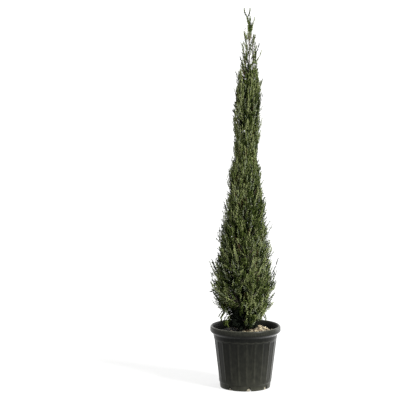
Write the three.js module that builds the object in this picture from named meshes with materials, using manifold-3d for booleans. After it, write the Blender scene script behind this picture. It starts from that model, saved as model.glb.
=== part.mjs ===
// A potted Italian cypress: a fluted nursery pot full of growing medium, a slim trunk that leans a little,
// boughs that climb close to it, and upright masses of scale foliage packed round it in tiers.
// Millimetres, +Z up. The origin is the middle of the pot's underside, and the front of the plant faces -Y.
import * as THREE from "three";
import { mergeVertices } from "three/addons/utils/BufferGeometryUtils.js";
import Module from "manifold-3d";

const wasm = await Module();
wasm.setup();
const { lerp, smoothstep, clamp, degToRad, euclideanModulo } = THREE.MathUtils;

// Driving dimensions of the pot
const POT_HEIGHT = 358;
const RIM_RADIUS = 202;
const LIP_WIDTH = 14;
const LIP_HEIGHT = 43;
const LIP_ROLL = 12;
const LIP_BELLY = 11;
const LIP_SHOULDER = 7;
const COLLAR_HEIGHT = 27;
const FOOT_RADIUS = 143;
const FOOT_SPREAD = 3.5;
const FOOT_HEIGHT = 34;
const FOOT_RING_WIDTH = 12;
const WALL_FOOT_RADIUS = 149.5;
const WALL_TAPER = 0.121;
const WALL = 2.5;
const BASE_RISE = 12;
const FLUTES = 22;
const FLUTE_DEPTH = 3;
const FLUTE_STEPS = 3;
const FLUTE_FOOT = [38, 64];
const FLUTE_HEAD = [272, 285];
const FRONT_RIDGE = degToRad(1);
const NOTCHES = 8;
const NOTCH_WIDTH = 30;
const NOTCH_HEIGHT = 28;
const FRONT_NOTCH = degToRad(7);

// Driving dimensions of the plant
const SOIL_TOP = 322;
const SOIL_LUMPS = 4;
const GAP = 0.3;
const GROUND = SOIL_TOP + GAP;
const TREE_TOP = 2165;
const TRUNK_TOP = 2052;
const TRUNK_FOOT_RADIUS = 15;
const TRUNK_TIP_RADIUS = 2.2;
const TRUNK_TAPER = 0.85;
const TRUNK_STATIONS = 11;
const STATION_SPREAD = 1.7;
const TRUNK_SIDES = 10;
const ROOT_FLARE = 8;
const FLARE_HEIGHT = 28;
const BUTTRESSES = 3;
const BUTTRESS_DEPTH = 0.12;
const LEAN = 17;
const LEAN_FROM = 1220;
const LEAN_TO = 1900;
const SWAY = 13;

// The crown's outline: its radius at a few heights, from the skirt over the soil to the leader's tip
const OUTLINE = [
  { height: GROUND, radius: 130 },
  { height: 590, radius: 178 },
  { height: 1180, radius: 94 },
  { height: 1265, radius: 91 },
  { height: 1340, radius: 66 },
  { height: 1570, radius: 82 },
  { height: 1760, radius: 69 },
  { height: 1930, radius: 48 },
  { height: 2050, radius: 26 },
  { height: TREE_TOP, radius: 20 },
];

// Tiers of foliage from the soil up: where each ends on the outline, its masses, and what they are like
const TIERS = [
  { top: 555, masses: 5, bough: true, core: true },
  { top: 745, masses: 5, bough: true, core: true },
  { top: 945, masses: 5, bough: true, core: true },
  { top: 1140, masses: 4, bough: true, core: true },
  { top: 1335, masses: 4, bough: false, core: true },
  { top: 1560, masses: 3, bough: false, core: true },
  { top: 1800, masses: 3, bough: false, core: true },
  { top: 2050, masses: 3, bough: false, core: false },
];
const STEEPEST_CONE = 2.1;
const CONE_SPREAD = 0.88;
const TIER_TURN = 0.42;
const SKIRT_LIFT = 10;
const CLEAR = 1.2;
const OUTLINE_SLACK = 1.03;
const TIP_REACH = 0.98;
const GOLDEN_TURN = 0.618034;

// A mass's dense heart, as shares of its own space
const CORE_WIDTH = 0.96;
const CORE_MIDDLE = 0.49;
const CORE_DEPTH = 0.18;
const CORE_HEIGHT = 0.485;
const CORE_FULLNESS = 0.4;
const CORE_AROUND = 8;
const CORE_ALONG = 6;

// The way that a limb takes through its mass's space, as shares of the outline and of the tier's height
const DENSE_WAY = [
  { reach: 0.02, rise: 0.3 },
  { reach: 0.19, rise: 0.42 },
  { reach: 0.32, rise: 0.5 },
  { reach: 0.6, rise: 0.62 },
];
const OPEN_WAY = [
  { reach: 0.02, rise: 0.16 },
  { reach: 0.3, rise: 0.3 },
  { reach: 0.4, rise: 0.5 },
  { reach: 0.5, rise: 0.86 },
];

// Limbs: radii, how much of a limb's line is bare bough, and how it wanders from the middle of its wedge
const BOUGH_RADIUS = 7;
const BOUGH_TIP_RADIUS = 4.2;
const BOUGH_SHARE = 0.5;
const STEM_OVERLAP = 0.04;
const STEM_TIP_RADIUS = 1.6;
const TWIG_RADIUS = 1.4;
const LIMB_PER_TRUNK = 0.6;
const LIMB_SIDES = 5;
const LIMB_STEPS = 3;
const LIMB_WANDER = 0.3;

// Sprays: their count in a mass, their size, how they fan and roll, and how deep their roots are sunk
const SPRAYS_IN_DENSE = 9;
const SPRAYS_IN_OPEN = 15;
const SPRAY_LENGTH = 72;
const SPRAY_GROWTH = 0.45;
const SHORTER = [1, 0.85, 0.7, 0.55, 0.45];
const DENSE_SIDE = 0.88;
const DENSE_RISE = [0.06, 0.9];
const DENSE_TWIGS = [0.75, 0.95];
const OPEN_TWIGS = [0.12, 0.97];
const SKIRT_HEIGHT = 160;
const SKIRT_SHARE = 0.6;
const DENSE_SLIMNESS = 0.4;
const OPEN_SLIMNESS = 0.28;
const SPRAY_THICKNESS = 0.05;
const SPRAY_SINK = 0.07;
const SPRAY_ROLL = 0.6;
const DENSE_FAN = 0.3;
const OPEN_FAN = 0.8;
const ARM_SPRAY = 26;
const LEADER_SPRAY = 60;
const LEADER_SPLAY = 0.42;

// The leader: where it forks, how far its leaning foot clears the trunk, how far apart its tips stand, and
// where sprays grow on the shoot and its arms
const FORK_SHARE = 0.55;
const FORK_ASIDE = -9;
const LEADER_LIFT = 0.58;
const ARM_TIPS = [
  { x: -29, y: -3, below: 4 },
  { x: 4, y: 4, below: 0 },
];
const SHOOT_RADIUS = 2;
const ARM_RADIUS = 2.6;
const ARM_TIP_RADIUS = 1.2;
const SHOOT_TWIGS = [0.1, 0.35, 0.6, 0.85];
const ARM_TWIGS = [0.2, 0.45, 0.65];

// A repeatable number from 0 to 1 for a pair of whole numbers
function chance(first, second) {
  const wave = Math.sin(first * 12.9898 + second * 78.233) * 43758.5453;
  return wave - Math.floor(wave);
}

// A repeatable number from -1 to 1
function swing(first, second) {
  return 2 * chance(first, second) - 1;
}

// Solids: a closed geometry becomes a solid, and a solid becomes a geometry again
function solidOf(geometry) {
  const bare = geometry.clone();
  bare.deleteAttribute("normal");
  bare.deleteAttribute("uv");
  const merged = mergeVertices(bare, 1e-3);
  return new wasm.Manifold(
    new wasm.Mesh({
      numProp: 3,
      vertProperties: new Float32Array(merged.attributes.position.array),
      triVerts: new Uint32Array(merged.index.array),
    }),
  );
}

function geometryOf(solid) {
  const mesh = solid.getMesh();
  const geometry = new THREE.BufferGeometry();
  geometry.setAttribute("position", new THREE.BufferAttribute(mesh.vertProperties, mesh.numProp));
  geometry.setIndex(new THREE.BufferAttribute(mesh.triVerts, 1));
  geometry.computeVertexNormals();
  return geometry;
}

// The largest body of a solid, with any sealed hollow filled and any loose scrap dropped
function largestBody(solid) {
  return solid.decompose().reduce((a, b) => (b.volume() > a.volume() ? b : a));
}

// Moves every vertex of a geometry to where a function of its place says
function reshape(geometry, move) {
  const position = geometry.attributes.position;
  const vertex = new THREE.Vector3();
  for (let i = 0; i < position.count; i++) {
    vertex.fromBufferAttribute(position, i);
    position.setXYZ(i, ...move(vertex).toArray());
  }
  return geometry;
}

// A turned form about +Z from a profile of [radius, height] pairs that runs from the axis back to the axis
function turned(profile, segments, start) {
  const points = profile.map(([radius, height]) => new THREE.Vector2(radius, height));
  return new THREE.LatheGeometry(points, segments, start).rotateX(Math.PI / 2);
}

// The angle of a place round the Z axis, from the front towards +X
function bearing(x, y) {
  return Math.atan2(x, -y);
}

// The pot
const POT_SEGMENTS = FLUTES * FLUTE_STEPS;
const LIP_BOTTOM = POT_HEIGHT - LIP_HEIGHT;
const COLLAR_BOTTOM = LIP_BOTTOM - COLLAR_HEIGHT;

// The wall's outer radius at a height, before the flutes are sunk in it
function wallRadius(z) {
  return WALL_FOOT_RADIUS + WALL_TAPER * (z - FOOT_HEIGHT);
}

// The wall's inner radius at a height: smooth, and behind the bottom of every flute
function boreRadius(z) {
  return wallRadius(z) - FLUTE_DEPTH - WALL;
}

// How deep the flutes are at a bearing and a height: broad hollows between narrow ridges, fading at both ends
function fluteDepth(angle, z) {
  const turn = ((angle - FRONT_RIDGE) * FLUTES) / (2 * Math.PI);
  const across = 2 * (turn - Math.floor(turn)) - 1;
  const foot = smoothstep(z, ...FLUTE_FOOT);
  const head = 1 - smoothstep(z, ...FLUTE_HEAD);
  return FLUTE_DEPTH * (1 - Math.abs(across) ** 3) * foot * head;
}

function potSolid() {
  const ledge = 0.6;
  const innerLip = RIM_RADIUS - LIP_WIDTH;
  const floorTop = BASE_RISE + WALL;
  const profile = [
    [0, BASE_RISE],
    [FOOT_RADIUS - FOOT_RING_WIDTH - 2, BASE_RISE],
    [FOOT_RADIUS - FOOT_RING_WIDTH, 0],
    [FOOT_RADIUS, 0],
    [FOOT_RADIUS + FOOT_SPREAD, FOOT_HEIGHT - 3],
    [wallRadius(FLUTE_FOOT[0]), FLUTE_FOOT[0]],
    [wallRadius(FLUTE_FOOT[1]), FLUTE_FOOT[1]],
    [wallRadius(FLUTE_HEAD[0]), FLUTE_HEAD[0]],
    [wallRadius(COLLAR_BOTTOM), COLLAR_BOTTOM - 3],
    [wallRadius(COLLAR_BOTTOM) + ledge, COLLAR_BOTTOM + 2],
    [wallRadius(LIP_BOTTOM) + ledge, LIP_BOTTOM - 5],
    [RIM_RADIUS - LIP_ROLL, LIP_BOTTOM],
    [RIM_RADIUS, LIP_BOTTOM + LIP_BELLY],
    [RIM_RADIUS - 1, POT_HEIGHT - LIP_SHOULDER],
    [innerLip + 6, POT_HEIGHT],
    [innerLip, POT_HEIGHT - 8],
    [wallRadius(LIP_BOTTOM) + ledge - WALL, LIP_BOTTOM - 8],
    [boreRadius(COLLAR_BOTTOM), COLLAR_BOTTOM],
    [boreRadius(floorTop), floorTop],
    [0, floorTop],
  ];
  const body = reshape(turned(profile, POT_SEGMENTS, FRONT_RIDGE), (v) => {
    const radius = Math.hypot(v.x, v.y);
    if (radius < wallRadius(v.z) - WALL) return v;
    const sunk = (radius - fluteDepth(bearing(v.x, v.y), v.z)) / radius;
    return v.set(v.x * sunk, v.y * sunk, v.z);
  });
  const step = (2 * Math.PI) / NOTCHES;
  const notches = Array.from({ length: NOTCHES }, (_, i) => drainNotch(FRONT_NOTCH + step * i));
  return notches.reduce((pot, notch) => pot.subtract(solidOf(notch)), solidOf(body));
}

// The wedge that cuts one drain notch out of the foot, at a bearing
function drainNotch(angle) {
  const inner = FOOT_RADIUS - FOOT_RING_WIDTH - 9;
  const depth = FOOT_RING_WIDTH + 18;
  const arch = new THREE.Shape();
  arch.moveTo(-NOTCH_WIDTH / 2, -4);
  arch.lineTo(NOTCH_WIDTH / 2, -4);
  arch.lineTo(NOTCH_WIDTH / 5, NOTCH_HEIGHT - 2);
  arch.lineTo(0, NOTCH_HEIGHT);
  arch.lineTo(-NOTCH_WIDTH / 5, NOTCH_HEIGHT - 2);
  const wedge = new THREE.ExtrudeGeometry(arch, { depth, bevelEnabled: false, steps: 1 });
  wedge.rotateX(Math.PI / 2).translate(0, -inner, 0).rotateZ(angle);
  return wedge;
}

// The growing medium: it fills the pot to just under the lip, lumpy on top but flat where the trunk stands
function soilSolid() {
  const bottom = BASE_RISE + WALL + GAP;
  const flat = TRUNK_FOOT_RADIUS + ROOT_FLARE + 12;
  const edge = boreRadius(SOIL_TOP) - 4;
  const rings = [edge * 0.82, edge * 0.6, edge * 0.38];
  const profile = [
    [0, bottom],
    [boreRadius(bottom) - GAP, bottom],
    [boreRadius(COLLAR_BOTTOM) - GAP, COLLAR_BOTTOM],
    [edge, SOIL_TOP - 6],
    ...rings.map((radius) => [radius, SOIL_TOP]),
    [flat, SOIL_TOP],
    [0, SOIL_TOP],
  ];
  const body = turned(profile, POT_SEGMENTS / 2, FRONT_RIDGE);
  return solidOf(
    reshape(body, (v) => {
      const lumpy = v.z > SOIL_TOP - 1 && Math.hypot(v.x, v.y) > flat + 1;
      if (lumpy) v.z += SOIL_LUMPS * swing(Math.round(v.x), Math.round(v.y));
      return v;
    }),
  );
}

// The trunk's middle line and radius at a height
function trunkAxis(z) {
  const low = clamp((z - GROUND) / (LEAN_FROM - GROUND), 0, 1);
  const x = LEAN * smoothstep(z, LEAN_FROM, LEAN_TO) - SWAY * Math.sin(Math.PI * low) ** 2;
  return new THREE.Vector3(x, 0, z);
}

function trunkRadius(z) {
  const share = clamp((z - GROUND) / (TRUNK_TOP - GROUND), 0, 1);
  const flare = ROOT_FLARE * Math.exp((GROUND - z) / FLARE_HEIGHT);
  return lerp(TRUNK_FOOT_RADIUS, TRUNK_TIP_RADIUS, share ** TRUNK_TAPER) + flare;
}

// A tapering limb: a ring of sides carried along a curve, its radius given by the share of the way along
function limb(curve, radiusAt, sides, steps) {
  const frames = curve.computeFrenetFrames(steps, false);
  const rod = new THREE.CylinderGeometry(1, 1, 1, sides, steps);
  return reshape(rod, (v) => {
    const share = clamp(v.y + 0.5, 0, 1);
    const step = Math.round(share * steps);
    const radius = radiusAt(share);
    const across = frames.normals[step].clone().multiplyScalar(v.x * radius);
    const aside = frames.binormals[step].clone().multiplyScalar(-v.z * radius);
    return v.copy(curve.getPointAt(share)).add(across).add(aside);
  });
}

// The trunk on its leaning line, drawn thicker by some amount when it stands for the room that it needs
function trunkSolid(extra) {
  const profile = [[0, GROUND]];
  for (let i = 0; i <= TRUNK_STATIONS; i++) {
    const z = lerp(GROUND, TRUNK_TOP, (i / TRUNK_STATIONS) ** STATION_SPREAD);
    profile.push([trunkRadius(z) + extra, z]);
  }
  profile.push([0, TRUNK_TOP]);
  const body = reshape(turned(profile, TRUNK_SIDES), (v) => {
    const depth = BUTTRESS_DEPTH * Math.exp((GROUND - v.z) / FLARE_HEIGHT);
    const swell = 1 + depth * Math.cos(BUTTRESSES * bearing(v.x, v.y));
    const axis = trunkAxis(v.z);
    return v.set(axis.x + v.x * swell, axis.y + v.y * swell, v.z);
  });
  return solidOf(body);
}

// The crown's radius at a height, on its outline
function crownRadius(z) {
  const above = OUTLINE.findIndex((station) => station.height >= z);
  if (above === 0) return OUTLINE[0].radius;
  if (above < 0) return OUTLINE.at(-1).radius;
  const [a, b] = [OUTLINE[above - 1], OUTLINE[above]];
  return lerp(a.radius, b.radius, (z - a.height) / (b.height - a.height));
}

// The cone between two tiers: it meets the outline at a height and falls towards the trunk as the sprays do
function tierCone(height) {
  const radius = crownRadius(height);
  const slope = Math.min(STEEPEST_CONE, (CONE_SPREAD * (height - GROUND)) / radius);
  return { height, radius, slope };
}

function coneHeight(cone, radius) {
  return cone.height - cone.slope * (cone.radius - radius);
}

// Every mass of foliage: the wedge of a tier that it keeps to, and how it is held
function foliageMasses() {
  const masses = [];
  const soil = { height: GROUND + SKIRT_LIFT, radius: crownRadius(GROUND), slope: 0 };
  let floor = soil;
  TIERS.forEach((tier, t) => {
    const ceiling = tierCone(tier.top);
    for (let k = 0; k < tier.masses; k++) {
      masses.push({
        ...tier,
        name: `${t + 1}${"abcde"[k]}`,
        seed: 10 * t + k,
        floor,
        ceiling,
        azimuth: (2 * Math.PI * (k + TIER_TURN * t)) / tier.masses,
        halfAngle: Math.PI / tier.masses,
      });
    }
    floor = ceiling;
  });
  return masses;
}

// A place in a mass: across its wedge from -1 to 1, out to a share of the outline, up a share of its tier
function place(mass, across, reach, rise) {
  let radius = reach * mass.ceiling.radius;
  let z = 0;
  for (let round = 0; round < 12; round++) {
    z = lerp(coneHeight(mass.floor, radius), coneHeight(mass.ceiling, radius), rise);
    radius = lerp(radius, reach * crownRadius(z), 0.7);
  }
  const angle = mass.azimuth + across * mass.halfAngle;
  const axis = trunkAxis(z);
  return new THREE.Vector3(axis.x + radius * Math.sin(angle), axis.y - radius * Math.cos(angle), z);
}

// Whether a point is inside a mass's own space, clear of its neighbours, the trunk and the outline
function inSpace(mass, point) {
  const axis = trunkAxis(point.z);
  const [x, y] = [point.x - axis.x, point.y - axis.y];
  const radius = Math.hypot(x, y);
  const turn = euclideanModulo(bearing(x, y) - mass.azimuth + Math.PI, 2 * Math.PI) - Math.PI;
  const toSide = radius * Math.sin(clamp(mass.halfAngle - Math.abs(turn), -Math.PI / 2, Math.PI / 2));
  return (
    radius > trunkRadius(point.z) + CLEAR &&
    radius < crownRadius(point.z) * OUTLINE_SLACK &&
    toSide > CLEAR &&
    point.z > coneHeight(mass.floor, radius) + CLEAR &&
    point.z < coneHeight(mass.ceiling, radius) - CLEAR
  );
}

// The line that a mass grows on: out of the trunk low in its tier, then up and out to the heart of the mass
function limbLine(mass) {
  const [bend, tip] = [LIMB_WANDER * swing(mass.seed, 1), LIMB_WANDER * swing(mass.seed, 2)];
  const way = mass.core ? DENSE_WAY : OPEN_WAY;
  const points = way.map(({ reach, rise }, i) => place(mass, [0, bend, bend, tip][i], reach, rise));
  return new THREE.CatmullRomCurve3(points);
}

// A stretch of a curve between two shares of its length, as a curve of its own
function stretch(curve, from, to) {
  const points = Array.from({ length: 5 }, (_, i) => curve.getPointAt(lerp(from, to, i / 4)));
  return new THREE.CatmullRomCurve3(points);
}

// A mass's bough: the first share of its line, drawn thicker and longer when it stands for the room it needs
function boughSolid(mass, extra) {
  const line = limbLine(mass);
  const reach = stretch(line, 0, BOUGH_SHARE + extra / line.getLength());
  const root = Math.min(BOUGH_RADIUS, LIMB_PER_TRUNK * trunkRadius(reach.getPoint(0).z));
  return solidOf(limb(reach, (share) => lerp(root, BOUGH_TIP_RADIUS, share) + extra, LIMB_SIDES, LIMB_STEPS));
}

// A mass's stem: it carries on from the bough's tip, or comes out of the trunk where there is no bough
function stemSolid(mass) {
  const line = limbLine(mass);
  const reach = stretch(line, mass.bough ? BOUGH_SHARE - STEM_OVERLAP : 0, 1);
  const root = Math.min(BOUGH_TIP_RADIUS, LIMB_PER_TRUNK * trunkRadius(reach.getPoint(0).z));
  return solidOf(limb(reach, (share) => lerp(root, STEM_TIP_RADIUS, share), LIMB_SIDES, LIMB_STEPS));
}

// A dense mass's heart: a rounded block that fills most of its wedge between trunk and outline
function coreSolid(mass) {
  const full = (share) => (Math.abs(share) < 1e-6 ? 0 : Math.sign(share) * Math.abs(share) ** CORE_FULLNESS);
  const ball = new THREE.SphereGeometry(1, CORE_AROUND, CORE_ALONG);
  const heart = reshape(ball, (v) => {
    const [across, rise] = [CORE_WIDTH * full(v.x), 0.5 + CORE_HEIGHT * full(v.y)];
    return place(mass, across, CORE_MIDDLE + CORE_DEPTH * full(v.z), rise);
  });
  return solidOf(heart);
}

// How far out the heart reaches, as a share of the outline, at a place across and up the mass
function coreReach(across, rise) {
  const power = 2 / CORE_FULLNESS;
  const left = 1 - Math.abs(across / CORE_WIDTH) ** power - Math.abs((rise - 0.5) / CORE_HEIGHT) ** power;
  return CORE_MIDDLE + CORE_DEPTH * Math.max(0, left) ** (1 / power);
}

// A spray: a twig that widens to a flat toothed blade, thick along its rib and sharp at its edge
function sprayGeometry(length, slimness, seed) {
  const width = slimness * length;
  const thick = SPRAY_THICKNESS * length;
  const uneven = 0.06 * swing(seed, 3);
  const edge = [
    [0, 0],
    [0.07, 0.34],
    [0.5, 0.68 + uneven],
    [0.15, 0.62],
    [0, 1],
    [-0.15, 0.58],
    [-0.5, 0.56 - uneven],
    [-0.07, 0.28],
  ];
  const rib = 0.48 * length;
  const corners = edge.map(([x, y]) => [x * width, y * length, 0]);
  corners.push([0, rib, thick / 2], [0, rib, -thick / 2]);
  const [front, back] = [edge.length, edge.length + 1];
  const faces = edge.flatMap((_, i) => {
    const next = (i + 1) % edge.length;
    return [front, i, next, back, next, i];
  });
  const blade = new THREE.BufferGeometry();
  blade.setAttribute("position", new THREE.Float32BufferAttribute(corners.flat(), 3));
  return blade.setIndex(faces);
}

// Stands a spray in place: its root, the way it points, and how far it is rolled about itself
function standSpray(blade, root, along, roll) {
  const side = new THREE.Vector3(-along.y, along.x, 0).normalize().applyAxisAngle(along, roll);
  const face = new THREE.Vector3().crossVectors(side, along);
  const stand = new THREE.Matrix4().makeBasis(side, along, face).setPosition(root);
  return blade.applyMatrix4(stand);
}

// One mass: its stem, twigs and sprays dealt evenly over it, and its heart if dense, clear of the limbs' room
function massSolid(mass, limbRoom) {
  const parts = [stemSolid(mass)];
  if (mass.core) parts.push(coreSolid(mass));
  const sprays = mass.core ? SPRAYS_IN_DENSE : SPRAYS_IN_OPEN;
  const grow = mass.core ? denseSpray : openSpray;
  for (let i = 0; i < sprays; i++) parts.push(...grow(mass, (i + 0.5) / sprays, i));
  return largestBody(wasm.Manifold.union(parts).subtract(limbRoom));
}

// A twig from a dense mass's stem to just under the face of its heart, and the spray that stands out there
function denseSpray(mass, share, i) {
  const seed = 100 * mass.seed + i;
  const across = DENSE_SIDE * (2 * ((i * GOLDEN_TURN + chance(mass.seed, 5)) % 1) - 1);
  const rise = lerp(...DENSE_RISE, share);
  const root = place(mass, across, coreReach(across, rise) - SPRAY_SINK, rise);
  const twig = new THREE.LineCurve3(limbLine(mass).getPointAt(lerp(...DENSE_TWIGS, share)), root);
  const spray = fittedSpray(mass, root, DENSE_FAN * swing(seed, 7), DENSE_SLIMNESS, seed);
  return spray ? [solidOf(limb(twig, () => TWIG_RADIUS, 3, 1)), solidOf(spray)] : [];
}

// A spray on its own twig from an open mass's stem, turned about the stem by the golden angle
function openSpray(mass, share, i) {
  const seed = 100 * mass.seed + i;
  const root = limbLine(mass).getPointAt(lerp(...OPEN_TWIGS, share));
  const fan = OPEN_FAN * mass.halfAngle * Math.sin(2 * Math.PI * GOLDEN_TURN * seed);
  const spray = fittedSpray(mass, root, fan, OPEN_SLIMNESS, seed);
  return spray ? [solidOf(spray)] : [];
}

// The longest spray from a root to the outline that keeps to the mass's space, or nothing where none does
function fittedSpray(mass, root, fan, slimness, seed) {
  const low = smoothstep(root.z, GROUND, GROUND + SKIRT_HEIGHT);
  const full = lerp(SKIRT_SHARE, 1, low) * (SPRAY_LENGTH + SPRAY_GROWTH * crownRadius(root.z));
  for (const share of SHORTER) {
    const along = outlinePoint(mass, root, full * share, fan).sub(root).normalize();
    const blade = sprayGeometry(full * share, slimness, seed);
    standSpray(blade, root, along, SPRAY_ROLL * swing(seed, 13));
    if (sprayFits(mass, blade)) return blade;
  }
  return null;
}

// The point a length away from a root, on the outline or as near as the tier's slope lets it, fanned aside
function outlinePoint(mass, root, length, fan) {
  const reach = length / Math.hypot(1, mass.floor.slope + 0.1);
  const foot = trunkAxis(root.z);
  const from = Math.hypot(root.x - foot.x, root.y - foot.y);
  const angle = bearing(root.x - foot.x, root.y - foot.y) + fan;
  let rise = 0.9 * length;
  let radius = 0;
  for (let round = 0; round < 4; round++) {
    radius = Math.min(TIP_REACH * crownRadius(root.z + rise), from + reach);
    rise = Math.sqrt(Math.max(0.2 * length ** 2, length ** 2 - (radius - from) ** 2));
  }
  const axis = trunkAxis(root.z + rise);
  return axis.add(new THREE.Vector3(radius * Math.sin(angle), -radius * Math.cos(angle), 0));
}

// Whether every tooth and the tip of a spray stay in the mass's space
function sprayFits(mass, blade) {
  const corner = new THREE.Vector3();
  const position = blade.attributes.position;
  return Array.from({ length: position.count - 1 }, (_, i) => i + 1).every((i) =>
    inSpace(mass, corner.fromBufferAttribute(position, i)),
  );
}

// The leader above the trunk's tip: a shoot that forks in two, with small sprays up both arms
function leaderSolid() {
  const base = trunkAxis(TRUNK_TOP + LEADER_LIFT);
  const fork = new THREE.Vector3(base.x + FORK_ASIDE, 2, lerp(TRUNK_TOP, TREE_TOP, FORK_SHARE));
  const shoot = new THREE.LineCurve3(base, new THREE.Vector3(fork.x, fork.y, fork.z + 3));
  const parts = [solidOf(limb(shoot, (share) => lerp(TRUNK_TIP_RADIUS, SHOOT_RADIUS, share), LIMB_SIDES, 1))];
  SHOOT_TWIGS.forEach((share, i) => parts.push(leaderSpray(shoot, share, 20 + i, LEADER_SPRAY)));
  ARM_TIPS.forEach(({ x, y, below }, arm) => {
    const tip = new THREE.Vector3(base.x + x, y, TREE_TOP - below);
    const bend = new THREE.Vector3(lerp(fork.x, tip.x, 0.75), tip.y, lerp(fork.z, tip.z, 0.35));
    const line = new THREE.CatmullRomCurve3([fork, bend, tip]);
    const thickness = (share) => lerp(ARM_RADIUS, ARM_TIP_RADIUS, share);
    parts.push(solidOf(limb(line, thickness, LIMB_SIDES, LIMB_STEPS)));
    ARM_TWIGS.forEach((share, i) => parts.push(leaderSpray(line, share, 4 * arm + i, ARM_SPRAY)));
  });
  return largestBody(wasm.Manifold.union(parts));
}

function leaderSpray(line, share, seed, length) {
  const angle = 2 * Math.PI * GOLDEN_TURN * seed;
  const aside = new THREE.Vector2(Math.sin(angle), Math.cos(angle)).multiplyScalar(LEADER_SPLAY);
  const along = new THREE.Vector3(aside.x, aside.y, 1).normalize();
  const root = line.getPointAt(share).addScaledVector(along, -0.12 * length);
  return solidOf(standSpray(sprayGeometry(length, OPEN_SLIMNESS, seed), root, along, swing(seed, 17)));
}

// Finishes: black recycled plastic, dark growing medium, grey-brown bark, dark green scale foliage
const FINISH = {
  pot: new THREE.MeshStandardMaterial({ color: 0x2e2f2c, roughness: 0.55, metalness: 0 }),
  soil: new THREE.MeshStandardMaterial({ color: 0x3a2c20, roughness: 0.95, metalness: 0 }),
  bark: new THREE.MeshStandardMaterial({ color: 0x6b5646, roughness: 0.9, metalness: 0 }),
  foliage: new THREE.MeshStandardMaterial({ color: 0x3f4d2c, roughness: 0.75, metalness: 0 }),
};

const plant = new THREE.Group();

function add(name, solid, finish) {
  const mesh = new THREE.Mesh(geometryOf(solid), finish);
  mesh.name = name;
  plant.add(mesh);
}

add("pot", potSolid(), FINISH.pot);
add("soil", soilSolid(), FINISH.soil);
add("trunk", trunkSolid(0), FINISH.bark);
const trunkRoom = trunkSolid(GAP);
for (const mass of foliageMasses()) {
  const limbRoom = mass.bough ? trunkRoom.add(boughSolid(mass, GAP)) : trunkRoom;
  if (mass.bough) {
    add(`bough_${mass.name}`, largestBody(boughSolid(mass, 0).subtract(trunkRoom)), FINISH.bark);
  }
  add(`foliage_${mass.name}`, massSolid(mass, limbRoom), FINISH.foliage);
}
add("foliage_leader", leaderSolid(), FINISH.foliage);

export default plant;
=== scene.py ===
import math

import bpy
import numpy as np
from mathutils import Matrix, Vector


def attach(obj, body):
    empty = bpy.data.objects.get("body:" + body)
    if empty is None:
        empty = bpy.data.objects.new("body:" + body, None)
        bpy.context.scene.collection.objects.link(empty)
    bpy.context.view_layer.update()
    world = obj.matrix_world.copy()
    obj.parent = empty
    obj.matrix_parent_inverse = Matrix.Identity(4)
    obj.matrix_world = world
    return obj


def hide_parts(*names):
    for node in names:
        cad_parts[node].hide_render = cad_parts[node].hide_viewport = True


# A young Italian cypress in its nursery pot. Sizes are in millimetres until a mesh is filled in, and
# bearings are turned from the front of the plant, which faces -Y, towards +X.
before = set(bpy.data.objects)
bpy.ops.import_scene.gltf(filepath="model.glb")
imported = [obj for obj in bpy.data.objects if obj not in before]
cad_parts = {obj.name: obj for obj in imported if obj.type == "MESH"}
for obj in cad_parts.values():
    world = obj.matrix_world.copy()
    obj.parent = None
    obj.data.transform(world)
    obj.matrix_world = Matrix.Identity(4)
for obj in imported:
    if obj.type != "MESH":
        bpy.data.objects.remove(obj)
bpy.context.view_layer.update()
MM = 0.001


# The pot: a round nursery pot of about thirty litres, injection moulded in black recycled polypropylene.
# Shallow flutes stiffen its wall, a thick lip its mouth, and eight notches in the foot ring that it stands
# on let water out.
POT_HEIGHT = 358
RIM_RADIUS = 202
# The lip: its width and underside, and how far in from them its section turns
LIP_WIDTH = 14
LIP_BOTTOM = 315
LIP_ROLL = 12
LIP_BELLY = 11
LIP_SHOULDER = 7
LIP_LEAN = 1
LIP_INNER_ROLL = (6, 8)
LIP_NECK = 5
LIP_BORE = 8
# The plain collar under it, a little proud of the wall
COLLAR_BOTTOM = 288
COLLAR_STEP = 0.6
COLLAR_BEVEL = (3, 2)
# The foot ring: its radius on the floor, how much wider it is at its top, and its thickness
FOOT_RADIUS = 143
FOOT_SPREAD = 3.5
FOOT_RING = 12
FOOT_RING_DRAFT = 2
FOOT_HEIGHT = 34
FOOT_STEP = (3, 2.5)
FOOT_CORNER = 0.8
FOOT_FIRST_ROW, FOOT_ROWS = 0.02, 9
# The wall, and the base, which is raised off the floor
WALL_FOOT_RADIUS = 149.5
WALL_TAPER = 0.121
WALL = 2.5
CORNER_REACH = 5
BASE_RISE = 12
BASE_MIDDLE = 70
POLE = 1
# The flutes: how many, how deep, and the heights between which they fade in and out
FLUTES = 22
FLUTE_DEPTH = 3
FLUTE_FOOT = (38, 64)
FLUTE_HEAD = (272, 285)
FLUTE_ROWS = 30
FRONT_RIDGE = math.radians(1)
RIDGE_POWER = 5
# The drain notches: how many, their arch, and how far they cut in past the foot ring
NOTCHES = 8
NOTCH_WIDTH = 28
NOTCH_HEIGHT = 28
NOTCH_ARCH = 2.5
NOTCH_BACK = 8
FRONT_NOTCH = math.radians(7)
POT_COLUMNS = FLUTES * 18
# The plastic, then the dust and the dried runs on it: how high up they start and how much they cover
POT_BLACK = "#070807"
POT_GLOSS = 0.05
POT_ROUGHNESS = (0.32, 0.6)
POT_DUST = "#565649"
DUST_TOP, DUST_MOST = 330, 0.22
SPLASH_TOP, SPLASH_MOST = 50, 0.19
RUNS_MOST = 0.06
SHEEN, SHEEN_ROUGHNESS = 0.2, 0.36
# The pale of scuffs, which also paints highlights along the ridges, the flutes' heads and the lip
POT_WEAR_AND_HIGHLIGHT = "#6b6b5c"
# How strong the pale scuffs and painted highlights are at each place, and how far below the pot's top the
# lip's edge and face start and are full
CREST_HIGHLIGHT, HEAD_HIGHLIGHT, LIP_FACE_HIGHLIGHT, LIP_EDGE_HIGHLIGHT = 0.05, 0.1, 0.08, 0.2
LIP_FACE = (36, 20)
LIP_EDGE = (6, 2)
HEAD_DIP, HEAD_WIDTH, HEAD_POWER = 5, 3, 2
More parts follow.
